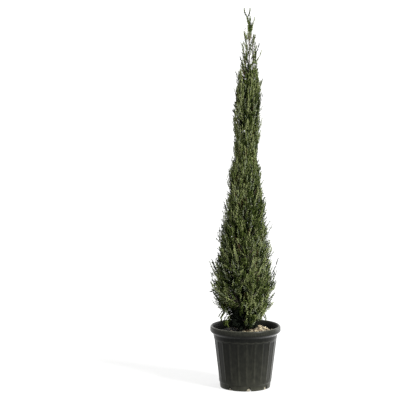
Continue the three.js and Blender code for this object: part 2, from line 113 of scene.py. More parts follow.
# A colour Mix node's sockets: its two colours and its result
MIX_FIRST, MIX_SECOND, MIXED = 6, 7, 2


def linear(code):
    """A colour's linear parts from its sRGB hex code: each channel through the sRGB curve."""
    parts = np.array([int(code[i : i + 2], 16) for i in (1, 3, 5)]) / 255
    curve = np.where(parts <= 0.04045, parts / 12.92, ((parts + 0.055) / 1.055) ** 2.4)
    return (*curve.tolist(), 1.0)


def smoothstep(low, high, value):
    """0 below low, 1 above high, and an even S between them."""
    share = np.clip((value - low) / (high - low), 0, 1)
    return share * share * (3 - 2 * share)


def rounded(profile, reach, steps=4):
    """A profile with each corner replaced by a parabola that starts and ends a reach away from it."""
    profile = np.array(profile, float)
    before, corner, after = profile[:-2], profile[1:-1], profile[2:]
    pulls = []
    for other in (before, after):
        gap = np.linalg.norm(other - corner, axis=1, keepdims=True)
        pulls.append(corner + (other - corner) * np.minimum(reach / gap, 0.45))
    share = np.linspace(0, 1, steps)[None, :, None]
    arcs = (1 - share) ** 2 * pulls[0][:, None]
    arcs = arcs + 2 * share * (1 - share) * corner[:, None] + share**2 * pulls[1][:, None]
    return np.concatenate([profile[:1], arcs.reshape(-1, 2), profile[-1:]])


def round_about(bearing, radius):
    """The x and y of a bearing, from the front towards +X, at a radius from the pot's middle."""
    return radius * np.sin(bearing), -radius * np.cos(bearing)


def closed_tube(rings):
    """A closed surface through rings of points: each ring joins the next, and a fan closes both ends."""
    rows, columns = rings.shape[:2]
    ids = np.arange(rows * columns).reshape(rows, columns)
    low, low_next = ids[:-1], np.roll(ids[:-1], -1, axis=1)
    high, high_next = ids[1:], np.roll(ids[1:], -1, axis=1)
    sides = np.stack([low, low_next, high_next, low, high_next, high], -1).reshape(-1, 3)
    first, last = np.full(columns, ids.size), np.full(columns, ids.size + 1)
    foot = np.stack([np.roll(ids[0], -1), ids[0], first], -1)
    head = np.stack([ids[-1], np.roll(ids[-1], -1), last], -1)
    middles = np.stack([rings[0].mean(0), rings[-1].mean(0)])
    return np.concatenate([rings.reshape(-1, 3), middles]), np.concatenate([sides, foot, head])


def joined(parts):
    """Several (points, triangles) pairs as one pair, each part's triangles counted on from the last's."""
    starts = np.cumsum([0] + [len(points) for points, _ in parts[:-1]])
    faces = [triangles + start for (_, triangles), start in zip(parts, starts)]
    return np.concatenate([points for points, _ in parts]), np.concatenate(faces)


def make_piece(name, points, triangles, finishes, tones=None, smooth=True):
    """A mesh object at the origin from whole arrays of points and triangles, riding on the plant's body.
    Tones pick one of the finishes for each triangle."""
    mesh = bpy.data.meshes.new(name)
    mesh.vertices.add(len(points))
    mesh.vertices.foreach_set("co", (points * MM).astype(np.float32).ravel())
    mesh.loops.add(triangles.size)
    mesh.loops.foreach_set("vertex_index", triangles.astype(np.int32).ravel())
    mesh.polygons.add(len(triangles))
    mesh.polygons.foreach_set("loop_start", np.arange(0, triangles.size, 3, dtype=np.int32))
    mesh.polygons.foreach_set("use_smooth", np.full(len(triangles), smooth))
    if tones is not None:
        mesh.polygons.foreach_set("material_index", tones.astype(np.int32))
    for finish in finishes:
        mesh.materials.append(finish)
    mesh.update(calc_edges=True)
    made = bpy.data.objects.new(name, mesh)
    bpy.context.scene.collection.objects.link(made)
    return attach(made, "root")


def add_node(tree, kind, inputs=None, **settings):
    """Adds one node: settings are its own properties, inputs are values or output sockets for its inputs."""
    made = tree.nodes.new(kind)
    for name, value in settings.items():
        setattr(made, name, value)
    for name, value in (inputs or {}).items():
        if isinstance(value, bpy.types.NodeSocket):
            tree.links.new(value, made.inputs[name])
        else:
            made.inputs[name].default_value = value
    return made


def new_finish(name, roughness, ior=1.5, gloss=0.5):
    """A material with one principled shader, and the node tree and shader to build its looks on."""
    finish = bpy.data.materials.new(name)
    finish.use_nodes = True
    shader = finish.node_tree.nodes["Principled BSDF"]
    shader.inputs["Roughness"].default_value = roughness
    shader.inputs["IOR"].default_value = ior
    shader.inputs["Specular IOR Level"].default_value = gloss
    return finish, finish.node_tree, shader


def give_look(tree, shader, share, first, second, relief=None):
    """A shader's base colour, from a first to a second by a share, and its relief, if it has one: a pattern's
    output, how strongly it shows and its depth in millimetres."""
    colours = {"Factor": share, MIX_FIRST: first, MIX_SECOND: second}
    mixed = add_node(tree, "ShaderNodeMix", colours, data_type="RGBA")
    tree.links.new(mixed.outputs[MIXED], shader.inputs["Base Color"])
    if relief:
        height, strength, depth = relief
        raised = {"Height": height, "Strength": strength, "Distance": depth * MM}
        bump = add_node(tree, "ShaderNodeBump", raised)
        tree.links.new(bump.outputs["Normal"], shader.inputs["Normal"])


def wall_radius(z):
    """The wall's outer radius at a height, before the flutes are sunk in it: an even taper."""
    return WALL_FOOT_RADIUS + WALL_TAPER * (z - FOOT_HEIGHT)


def ridge(bearing, power):
    """How near the crest of a ridge is: a high power of the way out from a flute's middle."""
    turn = (bearing - FRONT_RIDGE) * FLUTES / (2 * math.pi)
    return np.abs(2 * (turn - np.floor(turn)) - 1) ** power


def fluted(z):
    """Where the wall is fluted: 1 between the flutes' foot and head, fading at both."""
    return smoothstep(*FLUTE_FOOT, z) * (1 - smoothstep(*FLUTE_HEAD, z))


def flute_depth(bearing, z):
    """Broad hollows between narrow ridges, faded at both ends."""
    return FLUTE_DEPTH * (1 - ridge(bearing, RIDGE_POWER)) * fluted(z)


def pot_wear_and_highlights(points):
    """Where the plastic is pale, partly from scuffs and partly as painted highlights: along the ridges'
    crests, in a scalloped line over the flutes' heads, and on the lip, most of all along its top edge."""
    z = points[:, 2]
    bearing = np.arctan2(points[:, 0], -points[:, 1])
    outside = np.hypot(points[:, 0], points[:, 1]) > wall_radius(z) - WALL
    crests = ridge(bearing, RIDGE_POWER) * fluted(z) * outside
    above_head = z - COLLAR_BOTTOM + HEAD_DIP * (1 - ridge(bearing, HEAD_POWER))
    heads = np.exp(-((above_head / HEAD_WIDTH) ** 2)) * outside
    face = smoothstep(POT_HEIGHT - LIP_FACE[0], POT_HEIGHT - LIP_FACE[1], z)
    edge = smoothstep(POT_HEIGHT - LIP_EDGE[0], POT_HEIGHT - LIP_EDGE[1], z)
    return np.maximum(CREST_HIGHLIGHT * crests + HEAD_HIGHLIGHT * heads, LIP_FACE_HIGHLIGHT * face + LIP_EDGE_HIGHLIGHT * edge)


def notch_height(bearing):
    """How high the foot is cut away at a bearing: an arch over each notch's width, zero between them."""
    step = 2 * math.pi / NOTCHES
    off = (bearing - FRONT_NOTCH + step / 2) % step - step / 2
    share = np.clip(np.abs(off) * FOOT_RADIUS / (NOTCH_WIDTH / 2), 0, 1)
    return NOTCH_HEIGHT * (1 - share**NOTCH_ARCH)


def pot_surface():
    """A profile turned about the axis: under the base, up the fluted wall, over the lip and down the bore.
    The foot's rows start from the notches' edge instead of the floor."""
    bearing = np.linspace(0, 2 * math.pi, POT_COLUMNS, endpoint=False)[None, :]
    notch = notch_height(bearing)
    inner_foot = FOOT_RADIUS - FOOT_RING
    notch_back = inner_foot - NOTCH_BACK
    # Under the base, as radius and height: the whole part first, then what the notches cut
    whole = [(POLE, BASE_RISE), (BASE_MIDDLE, BASE_RISE), (notch_back - 1, BASE_RISE)]
    cut = [(notch_back, BASE_RISE), (inner_foot - FOOT_RING_DRAFT, BASE_RISE), (inner_foot, 0)]
    cut += [(FOOT_RADIUS - FOOT_CORNER, 0)]
    rows = [(r + 0 * notch, z + 0 * notch) for r, z in whole]
    rows += [(r + 0 * notch, np.maximum(z, notch)) for r, z in cut]
    foot_top = FOOT_HEIGHT - FOOT_STEP[0]
    for share in np.linspace(FOOT_FIRST_ROW, 1, FOOT_ROWS):
        z = notch + (foot_top - notch) * share
        rows.append((FOOT_RADIUS + FOOT_SPREAD * z / foot_top, z))
    inner_lip = RIM_RADIUS - LIP_WIDTH
    collar_foot, collar_top = wall_radius(COLLAR_BOTTOM), wall_radius(LIP_BOTTOM) + COLLAR_STEP
    bore_top = collar_foot - FLUTE_DEPTH - WALL
    bore_foot = wall_radius(BASE_RISE) - FLUTE_DEPTH - WALL
    profile = [
        (FOOT_RADIUS + FOOT_SPREAD, FOOT_HEIGHT - FOOT_STEP[1]),
        (wall_radius(FOOT_HEIGHT), FOOT_HEIGHT),
        *[(wall_radius(z), z) for z in np.linspace(FLUTE_FOOT[0], FLUTE_HEAD[1], FLUTE_ROWS)],
        (collar_foot, COLLAR_BOTTOM - COLLAR_BEVEL[0]),
        (collar_foot + COLLAR_STEP, COLLAR_BOTTOM + COLLAR_BEVEL[1]),
        (collar_top, LIP_BOTTOM - LIP_NECK),
        (RIM_RADIUS - LIP_ROLL, LIP_BOTTOM),
        (RIM_RADIUS, LIP_BOTTOM + LIP_BELLY),
        (RIM_RADIUS - LIP_LEAN, POT_HEIGHT - LIP_SHOULDER),
        (inner_lip + LIP_INNER_ROLL[0], POT_HEIGHT),
        (inner_lip, POT_HEIGHT - LIP_INNER_ROLL[1]),
        (collar_top - WALL, LIP_BOTTOM - LIP_BORE),
        (bore_top, COLLAR_BOTTOM),
        (bore_foot, BASE_RISE + WALL),
        (POLE, BASE_RISE + WALL),
    ]
    for r, z in rounded(profile, CORNER_REACH):
        outside = r > wall_radius(z) - WALL
        rows.append((r - flute_depth(bearing, z) * outside, z + 0 * bearing))
    rings = [np.stack([*round_about(bearing[0], radius[0]), z[0]], -1) for radius, z in rows]
    return closed_tube(np.stack(rings))


def black_polypropylene():
    """Black recycled polypropylene straight from the mould: satin, a little grey, with dust that gathers
    towards the foot and faint runs where water has dried."""
    finish, tree, shader = new_finish("black_polypropylene", POT_ROUGHNESS[0], gloss=POT_GLOSS)
    place = add_node(tree, "ShaderNodeTexCoord").outputs["Object"]
    height = add_node(tree, "ShaderNodeSeparateXYZ", {"Vector": place}).outputs["Z"]
    # Dust in patches about 30 mm across, fading out up the wall and thickest where rain splashes the foot
    patches = add_node(tree, "ShaderNodeTexNoise", {"Vector": place, "Scale": 1 / (30 * MM), "Detail": 6.0})
    layers = []
    for top, most in ((DUST_TOP, DUST_MOST), (SPLASH_TOP, SPLASH_MOST)):
        fade = {"Value": height, "From Min": top * MM, "From Max": 0.0, "To Min": 0.0, "To Max": most}
        layers.append(add_node(tree, "ShaderNodeMapRange", fade).outputs["Result"])
    depth = add_node(tree, "ShaderNodeMath", dict(enumerate(layers)), operation="ADD")
    patchy = {0: patches.outputs["Fac"], 1: depth.outputs[0]}
    dusty = add_node(tree, "ShaderNodeMath", patchy, operation="MULTIPLY")
    # Dried runs about 6 mm wide and 150 mm long down the wall
    run_scale = (1 / (6 * MM), 1 / (6 * MM), 1 / (150 * MM))
    drawn = add_node(tree, "ShaderNodeMapping", {"Vector": place, "Scale": run_scale}).outputs["Vector"]
    runs = add_node(tree, "ShaderNodeTexNoise", {"Vector": drawn, "Scale": 1.0, "Detail": 3.0})
    streaks = add_node(
        tree, "ShaderNodeMapRange",
        {"Value": runs.outputs["Fac"], "From Min": 0.5, "From Max": 0.8, "To Min": 0.0, "To Max": RUNS_MOST},
    )
    film = {0: dusty.outputs[0], 1: streaks.outputs["Result"]}
    amount = add_node(tree, "ShaderNodeMath", film, operation="ADD").outputs[0]
    dusted = add_node(
        tree, "ShaderNodeMix",
        {"Factor": amount, MIX_FIRST: linear(POT_BLACK), MIX_SECOND: linear(POT_DUST)}, data_type="RGBA",
    )
    rough = add_node(
        tree, "ShaderNodeMapRange",
        {"Value": amount, "From Max": 0.3, "To Min": POT_ROUGHNESS[0], "To Max": POT_ROUGHNESS[1]},
    )
    tree.links.new(rough.outputs["Result"], shader.inputs["Roughness"])
    # The film of dust catches light along the wall's outline
    shader.inputs["Sheen Roughness"].default_value = SHEEN_ROUGHNESS
    shader.inputs["Sheen Weight"].default_value = SHEEN
    # Scuffs and painted highlights on the crests, the flutes' heads and the lip, broken up about every 12 mm
    wear_and_highlight = add_node(tree, "ShaderNodeAttribute", attribute_name="wear_and_highlight")
    breaks = add_node(tree, "ShaderNodeTexNoise", {"Vector": place, "Scale": 1 / (12 * MM), "Detail": 4.0})
    broken = {"Value": breaks.outputs["Fac"], "From Min": 0.15, "From Max": 0.65}
    kept = add_node(tree, "ShaderNodeMapRange", broken)
    wear_and_highlight_parts = {0: wear_and_highlight.outputs["Fac"], 1: kept.outputs["Result"]}
    scuffs_and_highlights = add_node(tree, "ShaderNodeMath", wear_and_highlight_parts, operation="MULTIPLY")
    # The mould's spark-eroded grain is about 0.4 mm, drawn at 1.5 mm so that it shows
    grain = add_node(tree, "ShaderNodeTexNoise", {"Vector": place, "Scale": 1 / (1.5 * MM), "Detail": 2.0})
    relief = (grain.outputs["Fac"], 0.25, 0.3)
    give_look(tree, shader, scuffs_and_highlights.outputs[0], dusted.outputs[MIXED], linear(POT_WEAR_AND_HIGHLIGHT), relief)
    return finish


pot_points, pot_triangles = pot_surface()
pot = make_piece("pot_shell", pot_points, pot_triangles, [black_polypropylene()])
# The mask of scuffs and painted highlights, kept on the pot's points
pot.data.attributes.new("wear_and_highlight", "FLOAT", "POINT").data.foreach_set("value", pot_wear_and_highlights(pot_points))
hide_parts("pot")


# The growing medium: moist composted bark and peat that fills the pot to just under its lip, uneven where
# it was filled by hand, heaped a little on the right, and swelling against the drain notches, where some
# grit has washed out.
SOIL_TOP = 322
SOIL_EDGE = 174
SOIL_COLUMNS = 150
SOIL_ROWS = 56
SOIL_DIP = 9
SOIL_DIP_FROM = 0.6
SOIL_HEAP = 12
HEAP_SIDE = (-30, 50)
# Lumps in it, as height, size across and seed
SOIL_LUMPS = ((3.5, 45, 1), (1.6, 17, 2), (0.8, 7, 3))
# Its sides under the top, as radius and depth
SOIL_SIDES = ((155, 70), (160, 60))
BALL_COLUMNS, BALL_ROWS = 20, 12
BALL_POLE = 0.97
BALL_LUMPS = 0.12
BALL_CLEAR = 0.4
# By each notch, as how far out, aside and up, and as half sizes aside, out and up
PLUG_PLACE, PLUG_SIZE = (FOOT_RADIUS - FOOT_RING - NOTCH_BACK, 0, 13), (17, 9, 11)
GRIT_PLACE, GRIT_SIZE = (FOOT_RADIUS - 6, -3, 1), (11, 6, 15)
GRIT_SHARES = [1, 1, 0.6, 0.8, 0.5, 0.9, 0.7, 0.5]
SOIL_TONES = ("#080706", "#17120e")
GRIT_TONES = ("#4a453a", "#7d7766")


def ripples(x, y, size, seed, waves=9):
    """An uneven height from -1 to 1: a sum of sine waves of about one size in seeded directions."""
    rng = np.random.default_rng(seed)
    turn = rng.uniform(0, 2 * math.pi, waves)
    length = size * rng.uniform(0.7, 1.6, waves)
    phase = rng.uniform(0, 2 * math.pi, waves)
    way = np.multiply.outer(x, np.cos(turn) / length) + np.multiply.outer(y, np.sin(turn) / length)
    return np.sin(2 * math.pi * way + phase).sum(-1) / waves**0.5 / 1.5


def soil_height(x, y):
    """The medium's top: a dish that dips to the wall, heaped on the right, with lumps of three sizes."""
    near_wall = smoothstep(SOIL_DIP_FROM, 1, np.hypot(x, y) / SOIL_EDGE)
    dish = SOIL_HEAP * smoothstep(*HEAP_SIDE, x) * (1 - near_wall) - SOIL_DIP * near_wall
    lumps = sum(height * ripples(x, y, size, seed) for height, size, seed in SOIL_LUMPS)
    return SOIL_TOP + dish + lumps


def soil_surface():
    """A round plug: straight sides below, and a top whose height is the uneven dish above."""
    bearing = np.linspace(0, 2 * math.pi, SOIL_COLUMNS, endpoint=False)
    sides, depths = np.array(SOIL_SIDES).T
    radius = np.concatenate([sides, np.linspace(SOIL_EDGE, 1, SOIL_ROWS)])
    x, y = round_about(bearing[None, :], radius[:, None])
    z = soil_height(x, y)
    z[: len(depths)] = SOIL_TOP - depths[:, None]
    return closed_tube(np.stack([x, y, z], -1))


def notch_ball(index, middle, size):
    """A lumpy ball by one notch, its middle out, aside and up from it: a sphere stretched along the foot and
    flat where it meets the floor."""
    bearing = np.linspace(0, 2 * math.pi, BALL_COLUMNS, endpoint=False)[None, :]
    height = np.linspace(-BALL_POLE, BALL_POLE, BALL_ROWS)[:, None]
    around = np.sqrt(1 - height**2)
    lump = 1 + BALL_LUMPS * ripples(3 * bearing + index, 4 * height, 2, 10 + index)
    aside = middle[1] + size[0] * around * np.cos(bearing) * lump
    out = middle[0] + size[1] * around * np.sin(bearing) * lump
    up = np.maximum(middle[2] + size[2] * height * lump + 0 * bearing, BALL_CLEAR)
    turn = FRONT_NOTCH + 2 * math.pi * index / NOTCHES
    x, y = round_about(turn, out)
    return closed_tube(np.stack([x + aside * math.cos(turn), y + aside * math.sin(turn), up], -1))


def crumbly(name, tones):
    """Moist composted bark, or the grit washed out of it: matt and crumbly, light grains among dark ones."""
    finish, tree, shader = new_finish(name, roughness=0.92)
    place = add_node(tree, "ShaderNodeTexCoord").outputs["Object"]
    # Crumbs about 5 mm across
    crumb = {"Vector": place, "Scale": 1 / (5 * MM), "Detail": 8.0, "Roughness": 0.7}
    crumbs = add_node(tree, "ShaderNodeTexNoise", crumb).outputs["Fac"]
    grains = add_node(tree, "ShaderNodeMapRange", {"Value": crumbs, "From Min": 0.35, "From Max": 0.7})
    give_look(tree, shader, grains.outputs["Result"], *map(linear, tones), (crumbs, 0.9, 2.5))
    return finish


plugs = [notch_ball(index, PLUG_PLACE, PLUG_SIZE) for index in range(NOTCHES)]
wide, deep, high = GRIT_SIZE
grit = [notch_ball(index, GRIT_PLACE, (wide, deep, high * share)) for index, share in enumerate(GRIT_SHARES)]
medium_parts = [joined([soil_surface()] + plugs), joined(grit)]
medium_tones = np.repeat([0, 1], [len(triangles) for _, triangles in medium_parts])
medium_finishes = [crumbly("composted_bark", SOIL_TONES), crumbly("washed_grit", GRIT_TONES)]
medium = make_piece("growing_medium", *joined(medium_parts), medium_finishes, medium_tones)
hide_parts("soil")


# Bark chips: loose flakes of pine bark and a few pale splinters of wood, strewn on the medium as a mulch.
# They lie nearly flat, thickest on the plant's right. Few lie on the left, as painted shade: the dark medium
# shows there where the crown shades it.
CHIPS = 1100
CHIP_NEAREST = 0.02
CHIP_LENGTH = (7, 21)
# Shares of its length: a chip's width and its thickness
CHIP_WIDTH = (0.35, 0.8)
CHIP_THICKNESS = (0.14, 0.3)
CHIP_JITTER = (-0.45, 0.15)
CHIP_TILT = 0.22
CHIP_SEAT = 0.35
CHIP_MARGIN = 8
# Painted shade: the share of chips kept on the left, and the band across which it rises to all of them
CHIPS_IN_SHADE = 0.1
CHIPS_SHADE_BAND = (-35, 35)
CHIP_TONES = ["#93866a", "#6e5d41", "#bcb192", "#4a3a28", "#241a12"]
CHIP_ODDS = [0.28, 0.22, 0.2, 0.18, 0.12]
CHIP_LAYER_SHADE = 0.55


def turned(points, angle, first, second):
    """Rows of points, each row turned by its own angle from a first axis towards a second."""
    cos, sin = np.cos(angle)[:, None], np.sin(angle)[:, None]
    made = points.copy()
    made[..., first] = points[..., first] * cos - points[..., second] * sin
    made[..., second] = points[..., first] * sin + points[..., second] * cos
    return made


def chip_surfaces(rng):
    """Flakes with eight jittered corners: a thin box, turned and tilted a little, laid on the medium. Few of
    them lie on the left, as painted shade where the crown shades the medium."""
    spread = np.sqrt(rng.uniform(CHIP_NEAREST, 1, CHIPS))
    bearing = rng.uniform(0, 2 * math.pi, CHIPS)
    x, y = round_about(bearing, spread * (SOIL_EDGE - CHIP_MARGIN))
    length = rng.uniform(*CHIP_LENGTH, CHIPS)
    shares = [1, rng.uniform(*CHIP_WIDTH, CHIPS), rng.uniform(*CHIP_THICKNESS, CHIPS)]
    size = np.stack([length * share for share in shares], -1)
    face = [(-1, -1), (1, -1), (1, 1), (-1, 1)]
    corners = np.array([(*corner, end) for end in (-1, 1) for corner in face])
    flakes = corners * (1 + rng.uniform(*CHIP_JITTER, (CHIPS, 8, 3))) * size[:, None] / 2
    turn, tilt = rng.uniform(0, 2 * math.pi, CHIPS), rng.normal(0, CHIP_TILT, CHIPS)
    flakes = turned(turned(flakes, tilt, 2, 0), turn, 0, 1)
    flakes += np.stack([x, y, soil_height(x, y) + size[:, 2] * CHIP_SEAT], -1)[:, None]
    box = [[0, 2, 1], [0, 3, 2], [4, 5, 6], [4, 6, 7], [0, 1, 5], [0, 5, 4]]
    box += [[1, 2, 6], [1, 6, 5], [2, 3, 7], [2, 7, 6], [3, 0, 4], [3, 4, 7]]
    # Painted shade: fewer chips are kept towards the left
    shade_thinned_odds = CHIPS_IN_SHADE + (1 - CHIPS_IN_SHADE) * smoothstep(*CHIPS_SHADE_BAND, x)
    flakes = flakes[rng.uniform(0, 1, CHIPS) < shade_thinned_odds]
    triangles = np.array(box)[None] + 8 * np.arange(len(flakes))[:, None, None]
    tones = np.repeat(rng.choice(len(CHIP_TONES), len(flakes), p=CHIP_ODDS), len(box))
    return flakes.reshape(-1, 3), triangles.reshape(-1, 3), tones


def shaded(colour, share):
    """A linear colour darkened to a share of itself."""
    return (*(share * part for part in colour[:3]), 1.0)


def pine_bark(index):
    """Dry pine bark: flaky and matt, its layers showing as fine darker bands about 2 mm apart."""
    finish, tree, shader = new_finish(f"pine_bark_{index + 1}", roughness=0.85)
    place = add_node(tree, "ShaderNodeTexCoord").outputs["Object"]
    layer = {"Vector": place, "Scale": 1 / (2 * MM), "Detail": 5.0}
    layers = add_node(tree, "ShaderNodeTexNoise", layer).outputs["Fac"]
    light = linear(CHIP_TONES[index])
    give_look(tree, shader, layers, light, shaded(light, CHIP_LAYER_SHADE), (layers, 0.5, 0.6))
    return finish


chip_points, chip_triangles, chip_tones = chip_surfaces(np.random.default_rng(21))
chip_finishes = [pine_bark(index) for index in range(len(CHIP_TONES))]
chips = make_piece("bark_chips", chip_points, chip_triangles, chip_finishes, chip_tones, smooth=False)


# The trunk: one slim stem that sways a little to the left, leans to the right higher up and flares at its
# foot. Its bark is thin, grey-brown and furrowed lengthwise, with ridges that split and join.
GROUND = 322.3
TRUNK_TOP = 2052
TRUNK_SUNK = 4
TRUNK_FOOT_RADIUS = 15
TRUNK_TIP_RADIUS = 2.2
TRUNK_TAPER = 0.85
TRUNK_ROWS, TRUNK_SIDES = 420, 40
ROWS_TO_FOOT = 1.25
ROOT_FLARE = 8
FLARE_HEIGHT = 28
BUTTRESSES = 3
BUTTRESS_SWELL = 0.12
LEAN = 17
LEAN_FROM = 1220
LEAN_TO = 1900
SWAY = 13
BARK_RELIEF = 0.05
RIDGE_COUNTS = (5, 8, 13)
# How a ridge wanders round its limb: a turn in radians, in waves of a length between two
RIDGE_WANDERS = ((1.1, 35, 60), (0.8, 12, 22))
BARK_LIGHT = "#50473d"
BARK_DARK = "#1f1914"


def trunk_axis(z):
    """The trunk's middle at heights: a sine-squared sway below, an even S of lean above."""
    low = np.clip((z - GROUND) / (LEAN_FROM - GROUND), 0, 1)
    x = LEAN * smoothstep(LEAN_FROM, LEAN_TO, z) - SWAY * np.sin(math.pi * low) ** 2
    return np.stack([x, 0 * x, z + 0 * x], -1)


def trunk_radius(z):
    """An almost straight taper from foot to tip, with a flare that dies away above the medium."""
    share = np.clip((z - GROUND) / (TRUNK_TOP - GROUND), 0, 1)
    taper = TRUNK_FOOT_RADIUS + (TRUNK_TIP_RADIUS - TRUNK_FOOT_RADIUS) * share**TRUNK_TAPER
    return taper + ROOT_FLARE * np.exp((GROUND - z) / FLARE_HEIGHT)


def bark_ridges(bearing, along, seed):
    """Ridges round a limb as waves whose bearing wanders along it, so that they split and join."""
    rng = np.random.default_rng(seed)
    ridges = 0
    for count in RIDGE_COUNTS:
        wander = 0
        for turn, low, high in RIDGE_WANDERS:
            wander = wander + turn * np.sin(along / rng.uniform(low, high) + rng.uniform(0, 6))
        ridges = ridges + np.sin(count * bearing + wander + rng.uniform(0, 6)) / count**0.5
    return ridges


def unit(vectors):
    """Vectors cut to a length of one."""
    return vectors / np.maximum(np.linalg.norm(vectors, axis=-1, keepdims=True), 1e-9)


def across(ways):
    """Two directions square to each way and to each other, turning right-handed round it."""
    side = unit(np.cross(ways, np.array([0.59, 0.81, 0.0])))
    return side, np.cross(ways, side)


def limb_surface(path, radius, sides, seed, relief):
    """A tapering limb: rings square to a path, their radius raised and sunk by the bark's ridges."""
    way = unit(np.gradient(path, axis=0))
    side, other = across(way)
    bearing = np.linspace(0, 2 * math.pi, sides, endpoint=False)[None, :]
    steps = np.linalg.norm(np.diff(path, axis=0), axis=1)
    along = np.concatenate([[0], np.cumsum(steps)])[:, None]
    reach = (radius[:, None] * (1 + relief * bark_ridges(bearing, along, seed)))[..., None]
    spokes = np.cos(bearing)[..., None] * side[:, None] + np.sin(bearing)[..., None] * other[:, None]
    return closed_tube(path[:, None] + reach * spokes)


def trunk_surface():
    """The trunk as a limb on its leaning line, closer ringed at the foot, where buttresses swell it."""
    foot = GROUND - TRUNK_SUNK
    z = foot + (TRUNK_TOP - GROUND + TRUNK_SUNK) * np.linspace(0, 1, TRUNK_ROWS) ** ROWS_TO_FOOT
    points, triangles = limb_surface(
        trunk_axis(z), trunk_radius(z), TRUNK_SIDES, seed=5, relief=BARK_RELIEF
    )
    middle = trunk_axis(points[:, 2])
    out = points - middle
    swell = BUTTRESS_SWELL * np.exp((GROUND - points[:, 2]) / FLARE_HEIGHT)
    swell = swell * np.cos(BUTTRESSES * np.arctan2(out[:, 0], -out[:, 1]))
    return middle + out * (1 + swell[:, None]), triangles


def cypress_bark():
    """Young cypress bark: thin, matt and stringy, grey on the ridges and brown down in the furrows."""
    finish, tree, shader = new_finish("cypress_bark", roughness=0.88)
    place = add_node(tree, "ShaderNodeTexCoord").outputs["Object"]
    # Strings of bark about 2 mm wide and 40 mm long
    string_scale = (1 / (2 * MM), 1 / (2 * MM), 1 / (40 * MM))
    drawn = add_node(tree, "ShaderNodeMapping", {"Vector": place, "Scale": string_scale}).outputs["Vector"]
    string = {"Vector": drawn, "Scale": 1.0, "Detail": 6.0}
    strings = add_node(tree, "ShaderNodeTexNoise", string).outputs["Fac"]
    furrows = add_node(tree, "ShaderNodeMapRange", {"Value": strings, "From Min": 0.3, "From Max": 0.7})
    colours = linear(BARK_DARK), linear(BARK_LIGHT)
    give_look(tree, shader, furrows.outputs["Result"], *colours, (strings, 0.8, 0.8))
    return finish


bark = cypress_bark()
trunk = make_piece("trunk_bark", *trunk_surface(), [bark])
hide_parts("trunk")


# The boughs: limbs that leave the trunk low in each tier of the crown and climb close beside it, each
# through the wedge that its mass of foliage fills. Their stems run on, thinner, into the foliage.
OUTLINE_HEIGHTS = [GROUND, 590, 1180, 1265, 1340, 1570, 1760, 1930, 2050, 2165]
OUTLINE_RADII = [130, 178, 94, 91, 66, 82, 69, 48, 26, 20]
TIER_TOPS = [555, 745, 945, 1140, 1335, 1560, 1800, 2050]
TIER_MASSES = [5, 5, 5, 4, 4, 3, 3, 3]
BOUGH_TIERS = 4
DENSE_TIERS = 7
TIER_TURN = 0.42
STEEPEST_CONE = 2.1
CONE_SPREAD = 0.88
SKIRT_LIFT = 10
# A limb's corners in dense and in open masses: how far out, as a share of the outline, and up its tier
DENSE_WAY = ((0.02, 0.3), (0.19, 0.42), (0.32, 0.5), (0.6, 0.62))
OPEN_WAY = ((0.02, 0.16), (0.3, 0.3), (0.4, 0.5), (0.5, 0.86))
LIMB_WANDER = 0.3
LIMB_POINTS = 41
BOUGH_RADIUS = 7
BOUGH_TIP_RADIUS = 4.2
STEM_TIP_RADIUS = 1.6
STEM_MIDDLE = 0.6
BOUGH_SHARE = 0.5
LIMB_PER_TRUNK = 0.6
BOUGH_SIDES = 14
BOUGH_RELIEF = 0.06
SETTLE_ROUNDS, SETTLE_STEP = 12, 0.7


def chance(first, second):
    """A repeatable number from 0 to 1 for a pair of whole numbers: the fraction of a large sine."""
    wave = np.sin(first * 12.9898 + second * 78.233) * 43758.5453
    return wave - np.floor(wave)


def swing(first, second):
    """A repeatable number from -1 to 1."""
    return 2 * chance(first, second) - 1


def crown_radius(z):
    """The crown's radius at heights: straight between the stations of its outline."""
    return np.interp(z, OUTLINE_HEIGHTS, OUTLINE_RADII)


def tier_cone(height):
    """The cone between two tiers as its height and radius on the outline and its slope to the trunk."""
    radius = float(crown_radius(height))
    return height, radius, min(STEEPEST_CONE, CONE_SPREAD * (height - GROUND) / radius)


def cone_height(cone, radius):
    """A cone's height at a radius: it falls from the outline towards the trunk."""
    return cone[0] - cone[2] * (cone[1] - radius)


def foliage_masses():
    """Every mass: the wedge of a tier that it keeps to, named by its tier and its place round the trunk."""
    masses = []
    floor = (GROUND + SKIRT_LIFT, float(crown_radius(GROUND)), 0.0)
    for tier, (top, count) in enumerate(zip(TIER_TOPS, TIER_MASSES)):
        ceiling = tier_cone(top)
        for k in range(count):
            turn = 2 * math.pi * (k + TIER_TURN * tier) / count
            mass = {"tier": tier, "name": f"{tier + 1}{'abcde'[k]}", "seed": 10 * tier + k, "turn": turn}
            mass.update(half=math.pi / count, floor=floor, ceiling=ceiling)
            masses.append(mass)
        floor = ceiling
    return masses


def place_in(mass, side, reach, rise):
    """A place in a mass: across its wedge from -1 to 1, out to a share of the outline, up a share of its
    tier. Radius and height depend on each other, so a few rounds settle them."""
    radius = reach * mass["ceiling"][1]
    for _ in range(SETTLE_ROUNDS):
        low, high = cone_height(mass["floor"], radius), cone_height(mass["ceiling"], radius)
        z = low + (high - low) * rise
        radius = radius + SETTLE_STEP * (reach * crown_radius(z) - radius)
    x, y = round_about(mass["turn"] + side * mass["half"], radius)
    return trunk_axis(z) + np.stack([x, y, 0 * x], -1)


def smooth_line(corners, count):
    """Points along a curve through corners, as cubic pieces whose slopes come from their neighbours."""
    padded = np.concatenate([[2 * corners[0] - corners[1]], corners, [2 * corners[-1] - corners[-2]]])
    share = np.linspace(0, len(corners) - 1 - 1e-9, count)
    piece = share.astype(int)
    t = (share - piece)[:, None]
    a, b, c, d = (padded[piece + k] for k in range(4))
    return 0.5 * (2 * b + (c - a) * t + (2 * a - 5 * b + 4 * c - d) * t**2 + (3 * b - a - 3 * c + d) * t**3)


